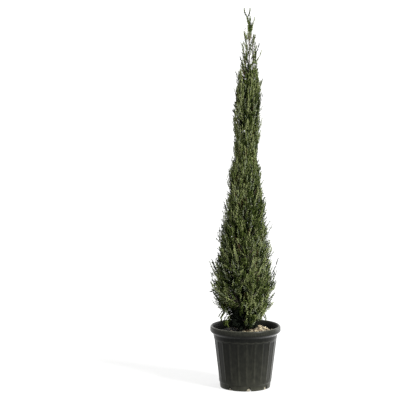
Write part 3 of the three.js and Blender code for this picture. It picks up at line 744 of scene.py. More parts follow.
def limb_line(mass):
    """The line that a mass grows on: out of the trunk low in its tier, then up and out to its heart."""
    bend, tip = LIMB_WANDER * swing(mass["seed"], 1), LIMB_WANDER * swing(mass["seed"], 2)
    way = np.array(DENSE_WAY if mass["tier"] < DENSE_TIERS else OPEN_WAY)
    return smooth_line(place_in(mass, np.array([0, bend, bend, tip]), way[:, 0], way[:, 1]), LIMB_POINTS)


def limb_radius(mass, path):
    """A limb's taper: bough for the first half of its line, stem beyond, and never over a share of the
    trunk's radius where it leaves it."""
    share = np.linspace(0, 1, len(path))
    if mass["tier"] < BOUGH_TIERS:
        stations = [BOUGH_RADIUS, BOUGH_TIP_RADIUS, STEM_TIP_RADIUS]
    else:
        middle = STEM_MIDDLE * BOUGH_TIP_RADIUS + (1 - STEM_MIDDLE) * STEM_TIP_RADIUS
        stations = [BOUGH_TIP_RADIUS, middle, STEM_TIP_RADIUS]
    radius = np.interp(share, [0, BOUGH_SHARE, 1], stations)
    return np.minimum(radius, LIMB_PER_TRUNK * trunk_radius(path[0, 2]))


masses = foliage_masses()
limbs = {mass["name"]: limb_line(mass) for mass in masses}
bough_parts = []
for mass in masses:
    path = limbs[mass["name"]]
    radius = limb_radius(mass, path)
    bough_parts.append(limb_surface(path, radius, BOUGH_SIDES, mass["seed"], BOUGH_RELIEF))
boughs = make_piece("boughs_bark", *joined(bough_parts), [bark])
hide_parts(*[f"bough_{mass['name']}" for mass in masses if mass["tier"] < BOUGH_TIERS])


# The twigs: from each mass's stem they run out under the face of its heart and up to the outline, brown
# and woody inside the crown. The crown is uneven, so they reach further on some sides, and at the top they
# stand open round the stem.
DENSE_TWIGS = 22
OPEN_TWIGS = 16
GOLDEN_TURN = 0.618034
# The heart of a dense mass, as shares of its wedge, the outline and its tier
CORE_WIDTH = 0.96
CORE_MIDDLE = 0.49
CORE_DEPTH = 0.18
CORE_HEIGHT = 0.485
CORE_FULLNESS = 0.4
# Where twigs leave their stem, and how far across and up a dense mass they come out
DENSE_ON_STEM = (0.55, 0.95)
OPEN_ON_STEM = (0.12, 0.97)
DENSE_SIDE = 0.95
DENSE_RISE = (0.04, 0.92)
DENSE_FAN = 0.65
OPEN_FAN = 0.8
OPEN_BEND = 0.45
SPRAY_SINK = 0.07
SPRAY_LENGTH = 72
SPRAY_GROWTH = 0.45
SPRAY_SLOPE = 0.1
SPRAY_RISE, SPRAY_LEAST_RISE = 0.9, 0.2
SPRAY_ROUNDS = 4
OPEN_SPRAY = 0.72
TIP_REACH = (0.74, 1.16)
OPEN_REACH, OPEN_REACH_SWING = 1.06, 0.2
# The crown's skirt: how far up its sprays are shorter, and to what share
SKIRT_HEIGHT = 160
SKIRT_SHARE = 0.6
# How far up it is bare: further on the right, on the far left and in a gap at the front left
SKIRT_CLEAR = 25
SKIRT_RIGHT, SKIRT_RIGHT_FROM = 40, (10, 70)
SKIRT_LEFT, SKIRT_LEFT_FROM = 82, (-95, -70)
SKIRT_GAP, SKIRT_GAP_X, SKIRT_GAP_WIDTH = 190, -58, 40
TWIG_RADII = (1.5, 0.7)
TWIG_POINTS = 9
TWIG_SIDES = 4
TWIG_END = 0.9
# Where the crown swells or draws in: bearing, height, how far up and down, share of the radius
BULGES = [
    (-90, 580, 70, 0.12), (-85, 730, 28, 0.14), (-95, 1050, 40, 0.14), (-90, 1240, 45, 0.13),
    (90, 950, 28, 0.18), (85, 810, 40, 0.12), (85, 725, 30, -0.1), (85, 400, 70, -0.4),
    (-95, 800, 30, -0.06), (-85, 400, 40, -0.15), (-90, 1905, 40, -0.25), (90, 1905, 40, -0.2),
    (40, 390, 50, -0.15), (135, 400, 60, -0.3), (0, 1815, 65, -0.35), (180, 1815, 65, -0.35),
    (90, 1335, 35, -0.15), (-90, 1590, 100, 0.22), (150, 660, 60, 0.12), (20, 900, 50, 0.08),
    (-140, 860, 60, 0.12), (125, 1080, 50, 0.12), (180, 470, 60, -0.12), (-150, 1250, 50, 0.1),
    (10, 500, 60, -0.06), (170, 1500, 60, 0.1),
]
BULGE_SPREAD = 40


def part_way(pair, share):
    """A value between the two of a pair, by a share of the way from the first to the second."""
    return pair[0] + (pair[1] - pair[0]) * share


def unevenness(points):
    """The crown's reach at places as a share of its even outline: a bell curve for each bulge."""
    out = points - trunk_axis(points[..., 2])
    bearing = np.degrees(np.arctan2(out[..., 0], -out[..., 1]))
    reach = 1.0
    for turn, height, spread, share in BULGES:
        aside = ((bearing - turn + 180) % 360 - 180) / BULGE_SPREAD
        above = (points[..., 2] - height) / spread
        reach = reach + share * np.exp(-(aside**2) - above**2)
    return reach


def core_reach(side, rise):
    """How far out a mass's heart comes, as a share of the outline: a rounded block's face."""
    power = 2 / CORE_FULLNESS
    left = 1 - np.abs(side / CORE_WIDTH) ** power - np.abs((rise - 0.5) / CORE_HEIGHT) ** power
    return CORE_MIDDLE + CORE_DEPTH * np.maximum(0, left) ** (1 / power)


def spray_length(z):
    """A spray's full length at a height: longer where the crown is wider, shorter in its skirt."""
    low = smoothstep(GROUND, GROUND + SKIRT_HEIGHT, z)
    return (SKIRT_SHARE + (1 - SKIRT_SHARE) * low) * (SPRAY_LENGTH + SPRAY_GROWTH * crown_radius(z))


def outline_point(mass, root, length, fan, limit):
    """The point a length from a root, on a share of the outline or as near as the tier's slope lets it."""
    reach = length / math.hypot(1, mass["floor"][2] + SPRAY_SLOPE)
    out = root - trunk_axis(root[:, 2])
    start = np.hypot(out[:, 0], out[:, 1])
    bearing = np.arctan2(out[:, 0], -out[:, 1]) + fan
    rise = SPRAY_RISE * length
    for _ in range(SPRAY_ROUNDS):
        radius = np.minimum(limit * crown_radius(root[:, 2] + rise), start + reach)
        rise = np.sqrt(np.maximum(SPRAY_LEAST_RISE * length**2, length**2 - (radius - start) ** 2))
    out = np.stack([*round_about(bearing, radius), 0 * radius], -1)
    middle = trunk_axis(root[:, 2] + rise)
    return middle + out * unevenness(middle + out)[:, None]


def on_line(path, share):
    """The points of a line that lie nearest to shares of its length."""
    return path[np.round(share * (len(path) - 1)).astype(int)]


def dense_twigs(mass):
    """Twigs dealt evenly over a dense mass, as three corners each: on the stem, under its face and at the
    tip."""
    index = np.arange(DENSE_TWIGS)
    share = (index + 0.5) / DENSE_TWIGS
    seed = 100 * mass["seed"] + index
    side = DENSE_SIDE * (2 * ((index * GOLDEN_TURN + chance(mass["seed"], 5)) % 1) - 1)
    rise = part_way(DENSE_RISE, share)
    on_stem = on_line(limbs[mass["name"]], part_way(DENSE_ON_STEM, share))
    root = place_in(mass, side, core_reach(side, rise) - SPRAY_SINK, rise)
    limit = part_way(TIP_REACH, chance(seed, 11))
    tip = outline_point(mass, root, spray_length(root[:, 2]), DENSE_FAN * swing(seed, 7), limit)
    return np.stack([on_stem, root, tip], 1)


def open_twigs(mass):
    """Twigs straight off an open mass's stem, each turned about it by the golden angle."""
    share = (np.arange(OPEN_TWIGS) + 0.5) / OPEN_TWIGS
    seed = 100 * mass["seed"] + np.arange(OPEN_TWIGS)
    root = on_line(limbs[mass["name"]], part_way(OPEN_ON_STEM, share))
    fan = OPEN_FAN * mass["half"] * np.sin(2 * math.pi * GOLDEN_TURN * seed)
    limit = OPEN_REACH * (1 + OPEN_REACH_SWING * swing(seed, 11))
    tip = outline_point(mass, root, OPEN_SPRAY * spray_length(root[:, 2]), fan, limit)
    return np.stack([root, root + OPEN_BEND * (tip - root), tip], 1)


def skirt(points):
    """The height below which the crown is bare at places: an S up to the right, plus an S up to the far left
    or a bell-shaped gap at the front, whichever is higher."""
    x = points[..., 0]
    clear = SKIRT_CLEAR + SKIRT_RIGHT * smoothstep(*SKIRT_RIGHT_FROM, x)
    gap = SKIRT_GAP * np.exp(-(((x - SKIRT_GAP_X) / SKIRT_GAP_WIDTH) ** 2)) * (points[..., 1] < 0)
    left = SKIRT_LEFT * (1 - smoothstep(*SKIRT_LEFT_FROM, x))
    return GROUND + clear + np.maximum(gap, left)


def bowed(corners, share):
    """Points on a curve that passes through each row's three corners, by its share of the way."""
    start, bend, end = corners[:, None, 0], corners[:, None, 1], corners[:, None, 2]
    t = share[..., None]
    return start * (1 - t) * (1 - 2 * t) + 4 * bend * t * (1 - t) + end * t * (2 * t - 1)


grow = [dense_twigs if mass["tier"] < DENSE_TIERS else open_twigs for mass in masses]
mass_twigs = [rule(mass) for rule, mass in zip(grow, masses)]
all_twigs = np.concatenate(mass_twigs)
all_twigs = all_twigs[all_twigs[:, :, 2].min(1) > skirt(all_twigs[:, 2])]
twig_share = np.linspace(0, TWIG_END, TWIG_POINTS)
twig_paths = bowed(all_twigs, np.broadcast_to(twig_share, (len(all_twigs), TWIG_POINTS)))
twig_radius = part_way(TWIG_RADII, twig_share)
twig_parts = [
    limb_surface(path, twig_radius, TWIG_SIDES, seed=row, relief=0.0) for row, path in enumerate(twig_paths)
]
twigs = make_piece("twigs_bark", *joined(twig_parts), [bark])


# The foliage: slim plumes all along the twigs, each a curved shoot set round with sprigs of fine cords that
# are clad in tight green scales. Older plumes are dark, new ones yellow-green towards their tips.
PLUMES = 9
OPEN_PLUMES = 4
# Plumes along a twig: where they start, and where the one that leads it on starts
PLUME_FROM = 0.32
LEAD_FROM = 0.58
PLUME_JITTER = (0.1, 0.7)
PLUME_LENGTH = (56, 110)
OPEN_PLUME_LENGTH = (26, 52)
PLUME_SHORTENS = (1.1, 0.7)
PLUME_SPREAD, PLUME_SPREAD_JITTER = (0.48, 0.24), 0.1
PLUME_ROLL_JITTER = 0.3
PLUME_SAG = (0.1, 0.05)
HEADING_STEP = 0.02
# How far out plumes reach, as shares of the outline: few of them far, and little further than their twig
PLUME_REACH = (0.8, 1.14)
REACH_POWER = 2.2
PLUME_OVER = 0.04
LIFT = 0.1
LEAN_OUT = (0.75, 0.42)
LEAN_ASIDE = 0.6
LEAN_FADE = (600, 1500)
GOLDEN_ANGLE = 2.4
# A plume's own cords along its curve, and the sprigs round it
AXIS_LINKS = (0, 0.36, 0.7, 1)
AXIS_OVERLAP = 0.12
AXIS_WIDTH = 1.3
SPRIGS = 8
SPRIG_FROM, SPRIG_RANGE = 0.04, 0.94
SPRIG_JITTER = (0.2, 0.8)
# By tier, from the lowest
SPRIG_LENGTHS = [15, 15, 14, 13, 12, 11, 10, 8]
CORD_RADII = [1.6, 1.6, 1.6, 1.6, 1.5, 1.4, 1.35, 1.3]
SPRIG_SHORTENS = (1.1, 0.65)
SPRIG_VARIES = (0.75, 1.25)
SPRIG_SPREAD = (0.65, 0.3)
SPRIG_WIDTH = 1.15
# Cords along a sprig, and the faces of a cord's five points
CORD_SHARES = (0.35, 0.7)
CORD_LENGTH = 0.55
CORD_SHORTENS = (1.2, 0.7)
CORD_SPREAD = 0.5
CORD_BELT = 0.38
CORD_FACES = [[0, 2, 1], [0, 3, 2], [0, 1, 3], [4, 1, 2], [4, 2, 3], [4, 3, 1]]
# Four greens from dark to light, grey-green, straw, dry, and a near-black green for painted deep shade
SCALE_TONES = ["#19210f", "#27310f", "#485228", "#737a51", "#6a715a", "#3a2d1c", "#6e675a", "#141812"]
LIGHTEST, GREY, STRAW, DRY, PAINTED_SHADE = 3, 4, 5, 6, 7
GREY_SHARE = 0.08
STRAW_SHARE = 0.012
SCALE_SHADE = 0.7
# What makes a plume lighter, in steps of its score
TONE_STEPS = (-0.65, 0.24, 0.95)
TONE_BY_TWIG = 1.0
TONE_BY_PLUME = 0.7
# Painted light: how much lighter plumes are high up, over the heights that follow
PAINTED_TOP_LIGHT = 0.5
TONE_RISE = (980, 1620)
TONE_CALM = 0.5
# Painted light and shade by side: at the foot the right is lighter, higher up the left, at these heights
PAINTED_SIDE_LIGHT = (0.25, -0.25, -0.75)
PAINTED_SIDE_LIGHT_HEIGHTS = (400, 600, 1300)
# Deeper in the crown plumes are darker: older foliage, and painted shade
DEPTH_AND_PAINTED_SHADE, DEPTH_AND_PAINTED_SHADE_FROM = 1.2, 0.65
# Painted shade: plumes are darker at the foot of the crown, fading out over these heights
PAINTED_FOOT_SHADE = 0.28
PAINTED_FOOT_SHADE_RISE = (400, 560)
TONE_LEAD = 1.0
# By tier, the share of sprigs a step lighter or darker. Fresh plumes have lighter upper sprigs.
TONE_MIX = [0.03, 0.03, 0.05, 0.1, 0.15, 0.2, 0.2, 0.2]
FRESH_ODDS, FRESH_FROM = 0.4, 0.6


def drawn_in(points, limit):
    """Points drawn in towards the trunk wherever they pass a share of the crown's outline."""
    middle = trunk_axis(points[..., 2])
    out = points - middle
    radius = np.hypot(out[..., 0], out[..., 1])
    most = limit * unevenness(points) * crown_radius(points[..., 2])
    return middle + out * np.minimum(1, most / np.maximum(radius, 1e-6))[..., None]


def branched(ways, spread, roll):
    """Directions that leave their parents' ways by an angle, at a roll round them."""
    side, other = across(ways)
    aside = np.cos(roll)[..., None] * side + np.sin(roll)[..., None] * other
    return unit(np.cos(spread)[..., None] * ways + np.sin(spread)[..., None] * aside)


def spindles(root, tip, radius):
    """Closed three-sided cords, pointed at both ends and thickest over a third of the way along."""
    root, tip = root.reshape(-1, 3), tip.reshape(-1, 3)
    side, other = across(unit(tip - root))
    turn = 2 * math.pi * np.arange(3) / 3
    ring = np.cos(turn)[None, :, None] * side[:, None] + np.sin(turn)[None, :, None] * other[:, None]
    belt = (root + CORD_BELT * (tip - root))[:, None] + radius * ring
    points = np.concatenate([root[:, None], belt, tip[:, None]], 1)
    triangles = np.array(CORD_FACES)[None] + points.shape[1] * np.arange(len(root))[:, None, None]
    return points.reshape(-1, 3), triangles.reshape(-1, 3)


def plume_curve(root, tip):
    """A plume's root, middle and tip: it sags outwards first and then turns up."""
    out = (tip - root) * np.array([1, 1, 0])
    drop = np.linalg.norm(tip - root, axis=-1, keepdims=True) * np.array([0, 0, 1])
    middle = (root + tip) / 2 + PLUME_SAG[0] * out - PLUME_SAG[1] * drop
    return np.stack([root, middle, tip], -2).reshape(-1, 3, 3)


def heading(corners, share):
    """The direction of bowed curves at shares of their way, from a point just before to one just after."""
    return unit(bowed(corners, share + HEADING_STEP) - bowed(corners, share - HEADING_STEP))


def plumes_on(corners, count, length, rng):
    """Plumes along twigs: evenly spaced, turned by the golden angle, wide at the foot and close at the tip.
    The last one leads the twig on to its tip. Gives the plumes, each one's twig and whether it leads."""
    rows = len(corners)
    places = np.arange(count) + rng.uniform(*PLUME_JITTER, (rows, count))
    share = PLUME_FROM + (1 - PLUME_FROM) * places / count
    share[:, -1] = LEAD_FROM
    root = bowed(corners, share)
    spread = part_way(PLUME_SPREAD, share) + rng.normal(0, PLUME_SPREAD_JITTER, share.shape)
    roll = GOLDEN_ANGLE * np.arange(count) + rng.uniform(0, 2 * math.pi, (rows, 1))
    roll = roll + rng.normal(0, PLUME_ROLL_JITTER, share.shape)
    ways = branched(heading(corners, share), spread, roll)
    ways[..., 2] += LIFT * (1 - ways[..., 2])
    outward = unit((root - trunk_axis(root[..., 2])) * np.array([1, 1, 0]))
    lean = part_way(LEAN_OUT, smoothstep(*LEAN_FADE, root[..., 2]))
    aside = np.stack([-outward[..., 1], outward[..., 0], 0 * lean], -1)
    ways = ways + lean[..., None] * (outward + LEAN_ASIDE * rng.normal(size=(rows, 1, 1)) * aside)
    long = rng.uniform(*length, share.shape) * part_way(PLUME_SHORTENS, share)
    reach = part_way(PLUME_REACH, rng.uniform(0, 1, share.shape) ** REACH_POWER)
    end = corners[:, 2]
    own = np.hypot(*(end - trunk_axis(end[:, 2]))[:, :2].T) / (unevenness(end) * crown_radius(end[:, 2]))
    reach = np.minimum(reach, own[:, None] + PLUME_OVER)
    tip = drawn_in(root + unit(ways) * long[..., None], reach)
    tip[:, -1] = end
    kept = np.minimum(root[..., 2], tip[..., 2]) > skirt(tip)
    twig_rows, order = np.nonzero(kept)
    return plume_curve(root[kept], tip[kept]), twig_rows, order == count - 1


def feathered(plumes, sprigs, sprig_length, cord_radius, rng):
    """Plumes as cords: three along each curve, and sprigs round it that each bear a few shorter cords."""
    rows = len(plumes)
    nodes = bowed(plumes, np.broadcast_to(AXIS_LINKS, (rows, len(AXIS_LINKS))))
    ends = nodes[:, 1:] + AXIS_OVERLAP * (nodes[:, 1:] - nodes[:, :-1])
    axes = spindles(nodes[:, :-1], ends, AXIS_WIDTH * cord_radius)
    places = np.arange(sprigs) + rng.uniform(*SPRIG_JITTER, (rows, sprigs))
    share = SPRIG_FROM + SPRIG_RANGE * places / sprigs
    root = bowed(plumes, share)
    roll = GOLDEN_ANGLE * np.arange(sprigs) + rng.uniform(0, 2 * math.pi, (rows, 1))
    ways = branched(heading(plumes, share), part_way(SPRIG_SPREAD, share), roll)
    long = sprig_length * part_way(SPRIG_SHORTENS, share) * rng.uniform(*SPRIG_VARIES, share.shape)
    stalks = spindles(root, root + ways * long[..., None], SPRIG_WIDTH * cord_radius)
    along = np.array(CORD_SHARES)
    cord_root = root[..., None, :] + ways[..., None, :] * (long[..., None] * along)[..., None]
    cord_roll = math.pi * np.arange(len(along)) + rng.uniform(0, 2 * math.pi, (*share.shape, 1))
    cord_parents = np.repeat(ways[..., None, :], len(along), -2)
    cord_ways = branched(cord_parents, np.full(cord_roll.shape, CORD_SPREAD), cord_roll)
    cord_long = CORD_LENGTH * long[..., None] * part_way(CORD_SHORTENS, along)
    cords = spindles(cord_root, cord_root + cord_ways * cord_long[..., None], cord_radius)
    return joined([axes, stalks, cords])


def plume_tones(plumes, twig_rows, leads, rng):
    """Each plume's tone: light or dark by twig and then by plume, so that neighbours are alike, and lighter
    where it leads its twig. Painted light and shade deal the rest: lighter higher up, darker deeper in
    (partly older foliage), darker at the foot of the crown but lighter towards the right, and higher up
    lighter towards the left. A few are greyer, and fewer straw."""
    root, tip = plumes[:, 0], plumes[:, 2]
    wide = crown_radius(tip[:, 2])
    depth = np.linalg.norm((root - trunk_axis(root[:, 2]))[:, :2], axis=1) / wide
    aside = (tip - trunk_axis(tip[:, 2]))[:, 0] / wide
    high = smoothstep(*TONE_RISE, tip[:, 2])
    # Painted light: lighter high up, and lighter on one side, the right at the foot and the left higher up
    score = PAINTED_TOP_LIGHT * high + np.interp(tip[:, 2], PAINTED_SIDE_LIGHT_HEIGHTS, PAINTED_SIDE_LIGHT) * aside
    # Darker deeper in: older foliage, and painted shade
    score = score + DEPTH_AND_PAINTED_SHADE * (depth - DEPTH_AND_PAINTED_SHADE_FROM)
    # Painted shade: darker at the crown's foot
    score = score - PAINTED_FOOT_SHADE * (1 - smoothstep(*PAINTED_FOOT_SHADE_RISE, tip[:, 2]))
    mood = TONE_LEAD * leads + TONE_BY_PLUME * rng.normal(size=len(twig_rows))
    mood = mood + TONE_BY_TWIG * rng.normal(size=twig_rows.max() + 1)[twig_rows]
    score = score + mood * (1 - TONE_CALM * high)
    odd = rng.uniform(0, 1, len(twig_rows))
    tones = np.where(odd < GREY_SHARE, GREY, np.digitize(score, TONE_STEPS))
    return np.where(odd > 1 - STRAW_SHARE, STRAW, tones)


def toned(plume, sprigs, mix, rng):
    """A tone for every triangle of plumes: the plume's own, the next lighter on some plumes' upper sprigs,
    and a step lighter or darker on a share of all sprigs."""
    sprig = np.repeat(plume[:, None], sprigs, 1)
    upper = np.arange(sprigs)[None, :] >= FRESH_FROM * sprigs
    fresh = (rng.uniform(0, 1, (len(plume), 1)) < FRESH_ODDS) & upper & (sprig < LIGHTEST)
    shift = rng.choice([-1, 0, 1], sprig.shape, p=[mix, 1 - 2 * mix, mix])
    sprig = np.where(sprig <= LIGHTEST, np.clip(sprig + fresh + shift, 0, LIGHTEST), sprig).ravel()
    axis = np.repeat(plume, len(AXIS_LINKS) - 1)
    return np.repeat(np.concatenate([axis, sprig, np.repeat(sprig, len(CORD_SHARES))]), len(CORD_FACES))


def scale_leaf(index):
    """Cypress scale leaves: small, tight and a little waxy, so they are satin, each tone finely mottled."""
    finish, tree, shader = new_finish(f"scale_leaf_{index + 1}", roughness=0.55, ior=1.42, gloss=0.04)
    place = add_node(tree, "ShaderNodeTexCoord").outputs["Object"]
    # Scales about 1.5 mm long
    scales = add_node(tree, "ShaderNodeTexNoise", {"Vector": place, "Scale": 1 / (1.5 * MM), "Detail": 2.0})
    light = linear(SCALE_TONES[index])
    give_look(tree, shader, scales.outputs["Fac"], light, shaded(light, SCALE_SHADE))
    return finish


def make_foliage(name, plumes, tones, sprigs, sprig_length, cord_radius, rng, mix=0.0):
    """One piece of foliage from plumes and their tones."""
    points, triangles = feathered(plumes, sprigs, sprig_length, cord_radius, rng)
    made = make_piece(name, points, triangles, leaf_finishes, toned(tones, sprigs, mix, rng))
    return made


leaf_finishes = [scale_leaf(index) for index in range(len(SCALE_TONES))]
for tier in range(len(TIER_TOPS)):
    rng = np.random.default_rng(100 + tier)
    tier_twigs = np.concatenate([rows for rows, mass in zip(mass_twigs, masses) if mass["tier"] == tier])
    dense = tier < DENSE_TIERS
    count, length = (PLUMES, PLUME_LENGTH) if dense else (OPEN_PLUMES, OPEN_PLUME_LENGTH)
    plumes, twig_rows, leads = plumes_on(tier_twigs, count, length, rng)
    tones = plume_tones(plumes, twig_rows, leads, rng)
    sprays = make_foliage(
        f"scale_foliage_{tier + 1}", plumes, tones,
        SPRIGS, SPRIG_LENGTHS[tier], CORD_RADII[tier], rng, TONE_MIX[tier],
    )
    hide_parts(*[f"foliage_{mass['name']}" for mass in masses if mass["tier"] == tier])


# The inner foliage: old plumes close to the trunk and along the limbs, shaded out and dark, and a few of them
# brown and dying. The lowest are given a near-black tone as painted shade. They close the crown, so that no
# sky shows through its dense part.
INNER_PLUMES = [40, 38, 34, 32, 28, 30, 36]
# On the trunk: from a height, to a height, how many
TRUNK_PLUMES = [(382, 1810, 138), (1640, 1775, 34)]
TRUNK_POINTS = 200
INNER_LENGTH = (50, 90)
INNER_SPREAD = 0.9
INNER_REACH = (0.45, 0.82)
INNER_SPRIGS = 8
INNER_SPRIG_LENGTH = 26
INNER_CORD_RADIUS = 2.7
INNER_ODDS = [0.95, 0.05]
# Below this height inner plumes get the near-black painted shade
INNER_PAINTED_SHADE_BELOW = 470


def inner_plumes(path, count, rng):
    """Plumes along a line, turned about it by the golden angle, their tips well short of the outline."""
    at = ((np.arange(count) + rng.uniform(0, 1, count)) / count * (len(path) - 1)).astype(int)
    way = unit(np.gradient(path, axis=0))[at]
    ways = branched(way, np.full(count, INNER_SPREAD), GOLDEN_ANGLE * np.arange(count))
    tip = path[at] + ways * rng.uniform(*INNER_LENGTH, count)[:, None]
    tip = drawn_in(tip, rng.uniform(*INNER_REACH, count))
    return plume_curve(path[at], tip)[tip[:, 2] > GROUND + SKIRT_CLEAR]


inner_rng = np.random.default_rng(200)
inner = []
for low, high, count in TRUNK_PLUMES:
    inner.append(inner_plumes(trunk_axis(np.linspace(low, high, TRUNK_POINTS)), count, inner_rng))
for mass in masses:
    if mass["tier"] < DENSE_TIERS:
        inner.append(inner_plumes(limbs[mass["name"]], INNER_PLUMES[mass["tier"]], inner_rng))
inner = np.concatenate(inner)
inner_tones = inner_rng.choice([0, STRAW], len(inner), p=INNER_ODDS)
# Painted shade: the lowest inner plumes are near black
inner_tones[inner[:, -1, 2] < INNER_PAINTED_SHADE_BELOW] = PAINTED_SHADE
make_foliage(
    "inner_foliage", inner, inner_tones, INNER_SPRIGS, INNER_SPRIG_LENGTH, INNER_CORD_RADIUS, inner_rng
)


# Stray shoots: vigorous or hanging plumes that stand out from the crown. A few hang over the pot on the
# left, thin ones spring up at both sides and in front, and slim ones part from the open top. Each has its
# tone, root, middle and tip.
STRAYS = [
    (1, (-150, -15, 650), (-177, -15, 690), (-192, -15, 742)),
    (0, (-150, -5, 655), (-172, -4, 690), (-184, 0, 724)),
    (1, (-145, -25, 590), (-180, -25, 566), (-203, -28, 556)),
    (1, (-140, 10, 560), (-175, 12, 575), (-196, 14, 602)),
    (0, (118, -10, 610), (158, -10, 668), (186, -10, 750)),
    (2, (125, 20, 560), (152, 20, 590), (165, 22, 640)),
    (2, (-95, -50, 470), (-125, -55, 432), (-140, -58, 395)),
    (1, (-90, -45, 440), (-118, -52, 408), (-124, -56, 368)),
    (2, (-100, -20, 480), (-135, -22, 440), (-152, -24, 412)),
    (2, (-85, -60, 430), (-105, -70, 392), (-98, -76, 362)),
    (1, (-98, -40, 462), (-128, -44, 436), (-146, -46, 400)),
    (2, (-88, -52, 425), (-112, -62, 396), (-112, -68, 366)),
    (1, (-92, -30, 455), (-130, -30, 424), (-136, -30, 384)),
    (1, (-80, -50, 415), (-100, -60, 384), (-118, -64, 372)),
    (2, (12, -48, 386), (22, -84, 398), (28, -108, 436)),
    (2, (28, -45, 380), (48, -80, 390), (56, -100, 424)),
    (1, (2, -55, 400), (6, -90, 418), (4, -112, 462)),
    (2, (18, -60, 416), (28, -95, 434), (32, -118, 476)),
    (1, (36, -50, 410), (58, -84, 424), (66, -102, 462)),
    (2, (8, -58, 430), (14, -96, 452), (14, -118, 500)),
    (1, (80, -40, 440), (104, -44, 418), (116, -46, 392)),
    (1, (75, 30, 450), (105, 36, 425), (122, 40, 388)),
    (0, (28, -4, 1880), (56, -6, 1915), (74, -6, 1970)),
    (2, (32, 6, 1845), (66, 8, 1878), (86, 8, 1925)),
    (1, (42, -8, 1690), (74, -10, 1720), (93, -10, 1768)),
    (0, (2, -4, 1815), (-22, -8, 1850), (-36, -8, 1897)),
    (1, (-15, 4, 1730), (-42, 5, 1762), (-59, 6, 1808)),
    (1, (10, 30, 1760), (14, 58, 1800), (16, 74, 1850)),
    (0, (12, -30, 1830), (6, -48, 1870), (4, -56, 1925)),
    (2, (-60, 90, 700), (-90, 130, 720), (-104, 150, 770)),
    (1, (60, 110, 640), (80, 150, 650), (92, 170, 690)),
    (0, (-30, 120, 480), (-40, 152, 450), (-44, 160, 410)),
]
STRAY_SPRIGS = 11
STRAY_SPRIG_LENGTH = 10
STRAY_CORD_RADIUS = 2.8
stray_plumes = np.array([corners for _, *corners in STRAYS], float)
stray_tones = np.array([tone for tone, *_ in STRAYS])
make_foliage(
    "stray_foliage", stray_plumes, stray_tones,
    STRAY_SPRIGS, STRAY_SPRIG_LENGTH, STRAY_CORD_RADIUS, np.random.default_rng(250),
)


# The leader: the trunk's last shoot, which forks in two, with shorter shoots beside it. All are clad in
# short sprigs to their tips.
TREE_TOP = 2165
FORK_SHARE = 0.55
FORK_ASIDE = -9
FORK_BACK = 2
LEADER_SUNK = 30
# The fork's arms: how far aside, back and below the top their tips are, and how they bend
ARM_TIPS = ((-29, -3, 4), (4, 4, 0))
ARM_BEND = (0.75, 1, 0.45)
# The leader's own tone and then its arms'
ARM_TONES = (2, 1, 1)
LEADER_SPRIGS = 18
LEADER_SPRIG_LENGTH = 9.5
LEADER_CORD_RADIUS = 2.5
# Shoots beside it, as tone, root and tip
SIDE_SHOOTS = [
    (2, (17, 0, 2030), (47, -4, 2112)),
    (GREY, (17, 0, 1985), (-8, 3, 2022)),
    (1, (18, 0, 1950), (42, 6, 2018)),
    (2, (17, 0, 1900), (-2, -10, 1985)),
    (2, (17, 0, 2030), (8, -16, 2066)),
    (GREY, (17, 0, 2020), (28, 12, 2068)),
    (1, (17, 0, 2045), (18, 10, 2092)),
    (2, (17, 0, 1960), (24, 22, 2040)),
    (2, (17, 0, 2040), (12, -8, 2088)),
    (GREY, (18, 0, 2035), (33, 6, 2084)),
    (1, (17, 0, 2030), (24, -10, 2080)),
    (2, (17, 0, 2015), (36, -6, 2062)),
    (2, (14, 0, 2075), (3, 2, 2112)),
    (GREY, (13, 0, 2085), (22, -3, 2118)),
    (1, (12, 0, 2070), (25, 3, 2105)),
    (DRY, (17, 0, 1985), (10, -5, 2020)),
    (DRY, (17, 0, 1975), (25, -4, 2014)),
    (DRY, (17, 0, 1995), (19, 6, 2036)),
]
base = trunk_axis(np.array(float(TRUNK_TOP)))
fork = np.array([base[0] + FORK_ASIDE, FORK_BACK, TRUNK_TOP + FORK_SHARE * (TREE_TOP - TRUNK_TOP)])
arms = [np.stack([base - [0, 0, LEADER_SUNK], (base + fork) / 2, fork])]
for x, y, below in ARM_TIPS:
    tip = np.array([base[0] + x, y, TREE_TOP - below])
    arms.append(np.stack([fork, fork + (tip - fork) * ARM_BEND, tip]))
side_ends = np.array([ends for _, *ends in SIDE_SHOOTS], float)
shoots = np.concatenate([np.stack(arms), plume_curve(side_ends[:, 0], side_ends[:, 1])])
leader_tones = np.array([*ARM_TONES, *(tone for tone, *_ in SIDE_SHOOTS)])
leader = make_foliage(
    "scale_foliage_leader", shoots, leader_tones,
    LEADER_SPRIGS, LEADER_SPRIG_LENGTH, LEADER_CORD_RADIUS, np.random.default_rng(300),
)
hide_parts("foliage_leader")


# The studio: a plain pale floor, one soft key light high on the right, a tall soft one behind on the same
# side and an even white surround. The camera stands far back and a little above the plant.
FLOOR_SIZE = 9000
FLOOR_GREY = "#666665"
FLOOR_GLOW = 0.72
SKY_STRENGTH = 1.2
KEY_STRENGTH = 10.0
KEY_ANGLE = math.radians(18)
KEY_FROM = (0.7, -0.6, 0.6)
RIM_POWER = 38
RIM_SIZE = (1200, 2400)
RIM_PLACE = (2050, 1430, 1000)
CAMERA_BACK = 11_000
CAMERA_HEIGHT = 2479
CAMERA_ASIDE = -260
AIM_HEIGHT = 1079
FOCAL_PIXELS = 1952
IMAGE_PIXELS = 400
SENSOR_WIDTH = 36

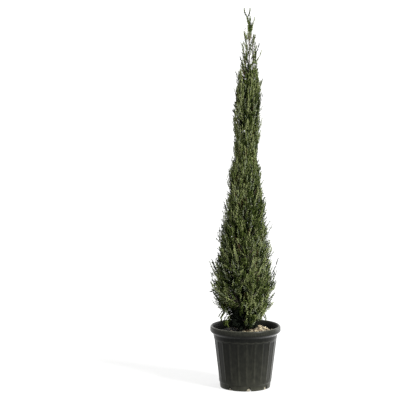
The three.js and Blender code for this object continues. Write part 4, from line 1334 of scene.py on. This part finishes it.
floor_mesh = bpy.data.meshes.new("floor")
edge = FLOOR_SIZE / 2 * MM
floor_corners = [(-edge, -edge, 0), (edge, -edge, 0), (edge, edge, 0), (-edge, edge, 0)]
floor_mesh.from_pydata(floor_corners, [], [(0, 1, 2, 3)])
floor = bpy.data.objects.new("floor", floor_mesh)
bpy.context.scene.collection.objects.link(floor)
floor_finish, _, floor_shader = new_finish("pale_floor", roughness=0.8)
floor_shader.inputs["Base Color"].default_value = linear(FLOOR_GREY)
floor_shader.inputs["Emission Color"].default_value = linear("#ffffff")
floor_shader.inputs["Emission Strength"].default_value = FLOOR_GLOW
floor_mesh.materials.append(floor_finish)

world = bpy.data.worlds.new("studio")
world.use_nodes = True
surround = world.node_tree.nodes["Background"]
surround.inputs["Color"].default_value = linear("#ffffff")
surround.inputs["Strength"].default_value = SKY_STRENGTH
bpy.context.scene.world = world

key = bpy.data.objects.new("key", bpy.data.lights.new("key", "SUN"))
key.data.energy = KEY_STRENGTH
key.data.angle = KEY_ANGLE
key.rotation_mode = "QUATERNION"
key.rotation_quaternion = Vector(KEY_FROM).to_track_quat("Z", "Y")
bpy.context.scene.collection.objects.link(key)

rim = bpy.data.objects.new("rim", bpy.data.lights.new("rim", "AREA"))
rim.data.energy = RIM_POWER
rim.data.shape = "RECTANGLE"
rim.data.size, rim.data.size_y = (side * MM for side in RIM_SIZE)
rim.location = [part * MM for part in RIM_PLACE]
rim.rotation_mode = "QUATERNION"
rim.rotation_quaternion = Vector((*RIM_PLACE[:2], 0)).to_track_quat("Z", "Y")
rim.visible_camera = False
bpy.context.scene.collection.objects.link(rim)

camera = bpy.data.objects.new("camera", bpy.data.cameras.new("camera"))
camera.data.sensor_width = SENSOR_WIDTH
camera.data.lens = SENSOR_WIDTH * FOCAL_PIXELS / IMAGE_PIXELS
camera.data.clip_end = 4 * CAMERA_BACK * MM
camera.location = (CAMERA_ASIDE * MM, -CAMERA_BACK * MM, CAMERA_HEIGHT * MM)
pitch = math.atan2(CAMERA_HEIGHT - AIM_HEIGHT, CAMERA_BACK)
camera.rotation_euler = (math.pi / 2 - pitch, 0, 0)
bpy.context.scene.collection.objects.link(camera)
bpy.context.scene.camera = camera
bpy.context.scene.view_settings.view_transform = "Standard"
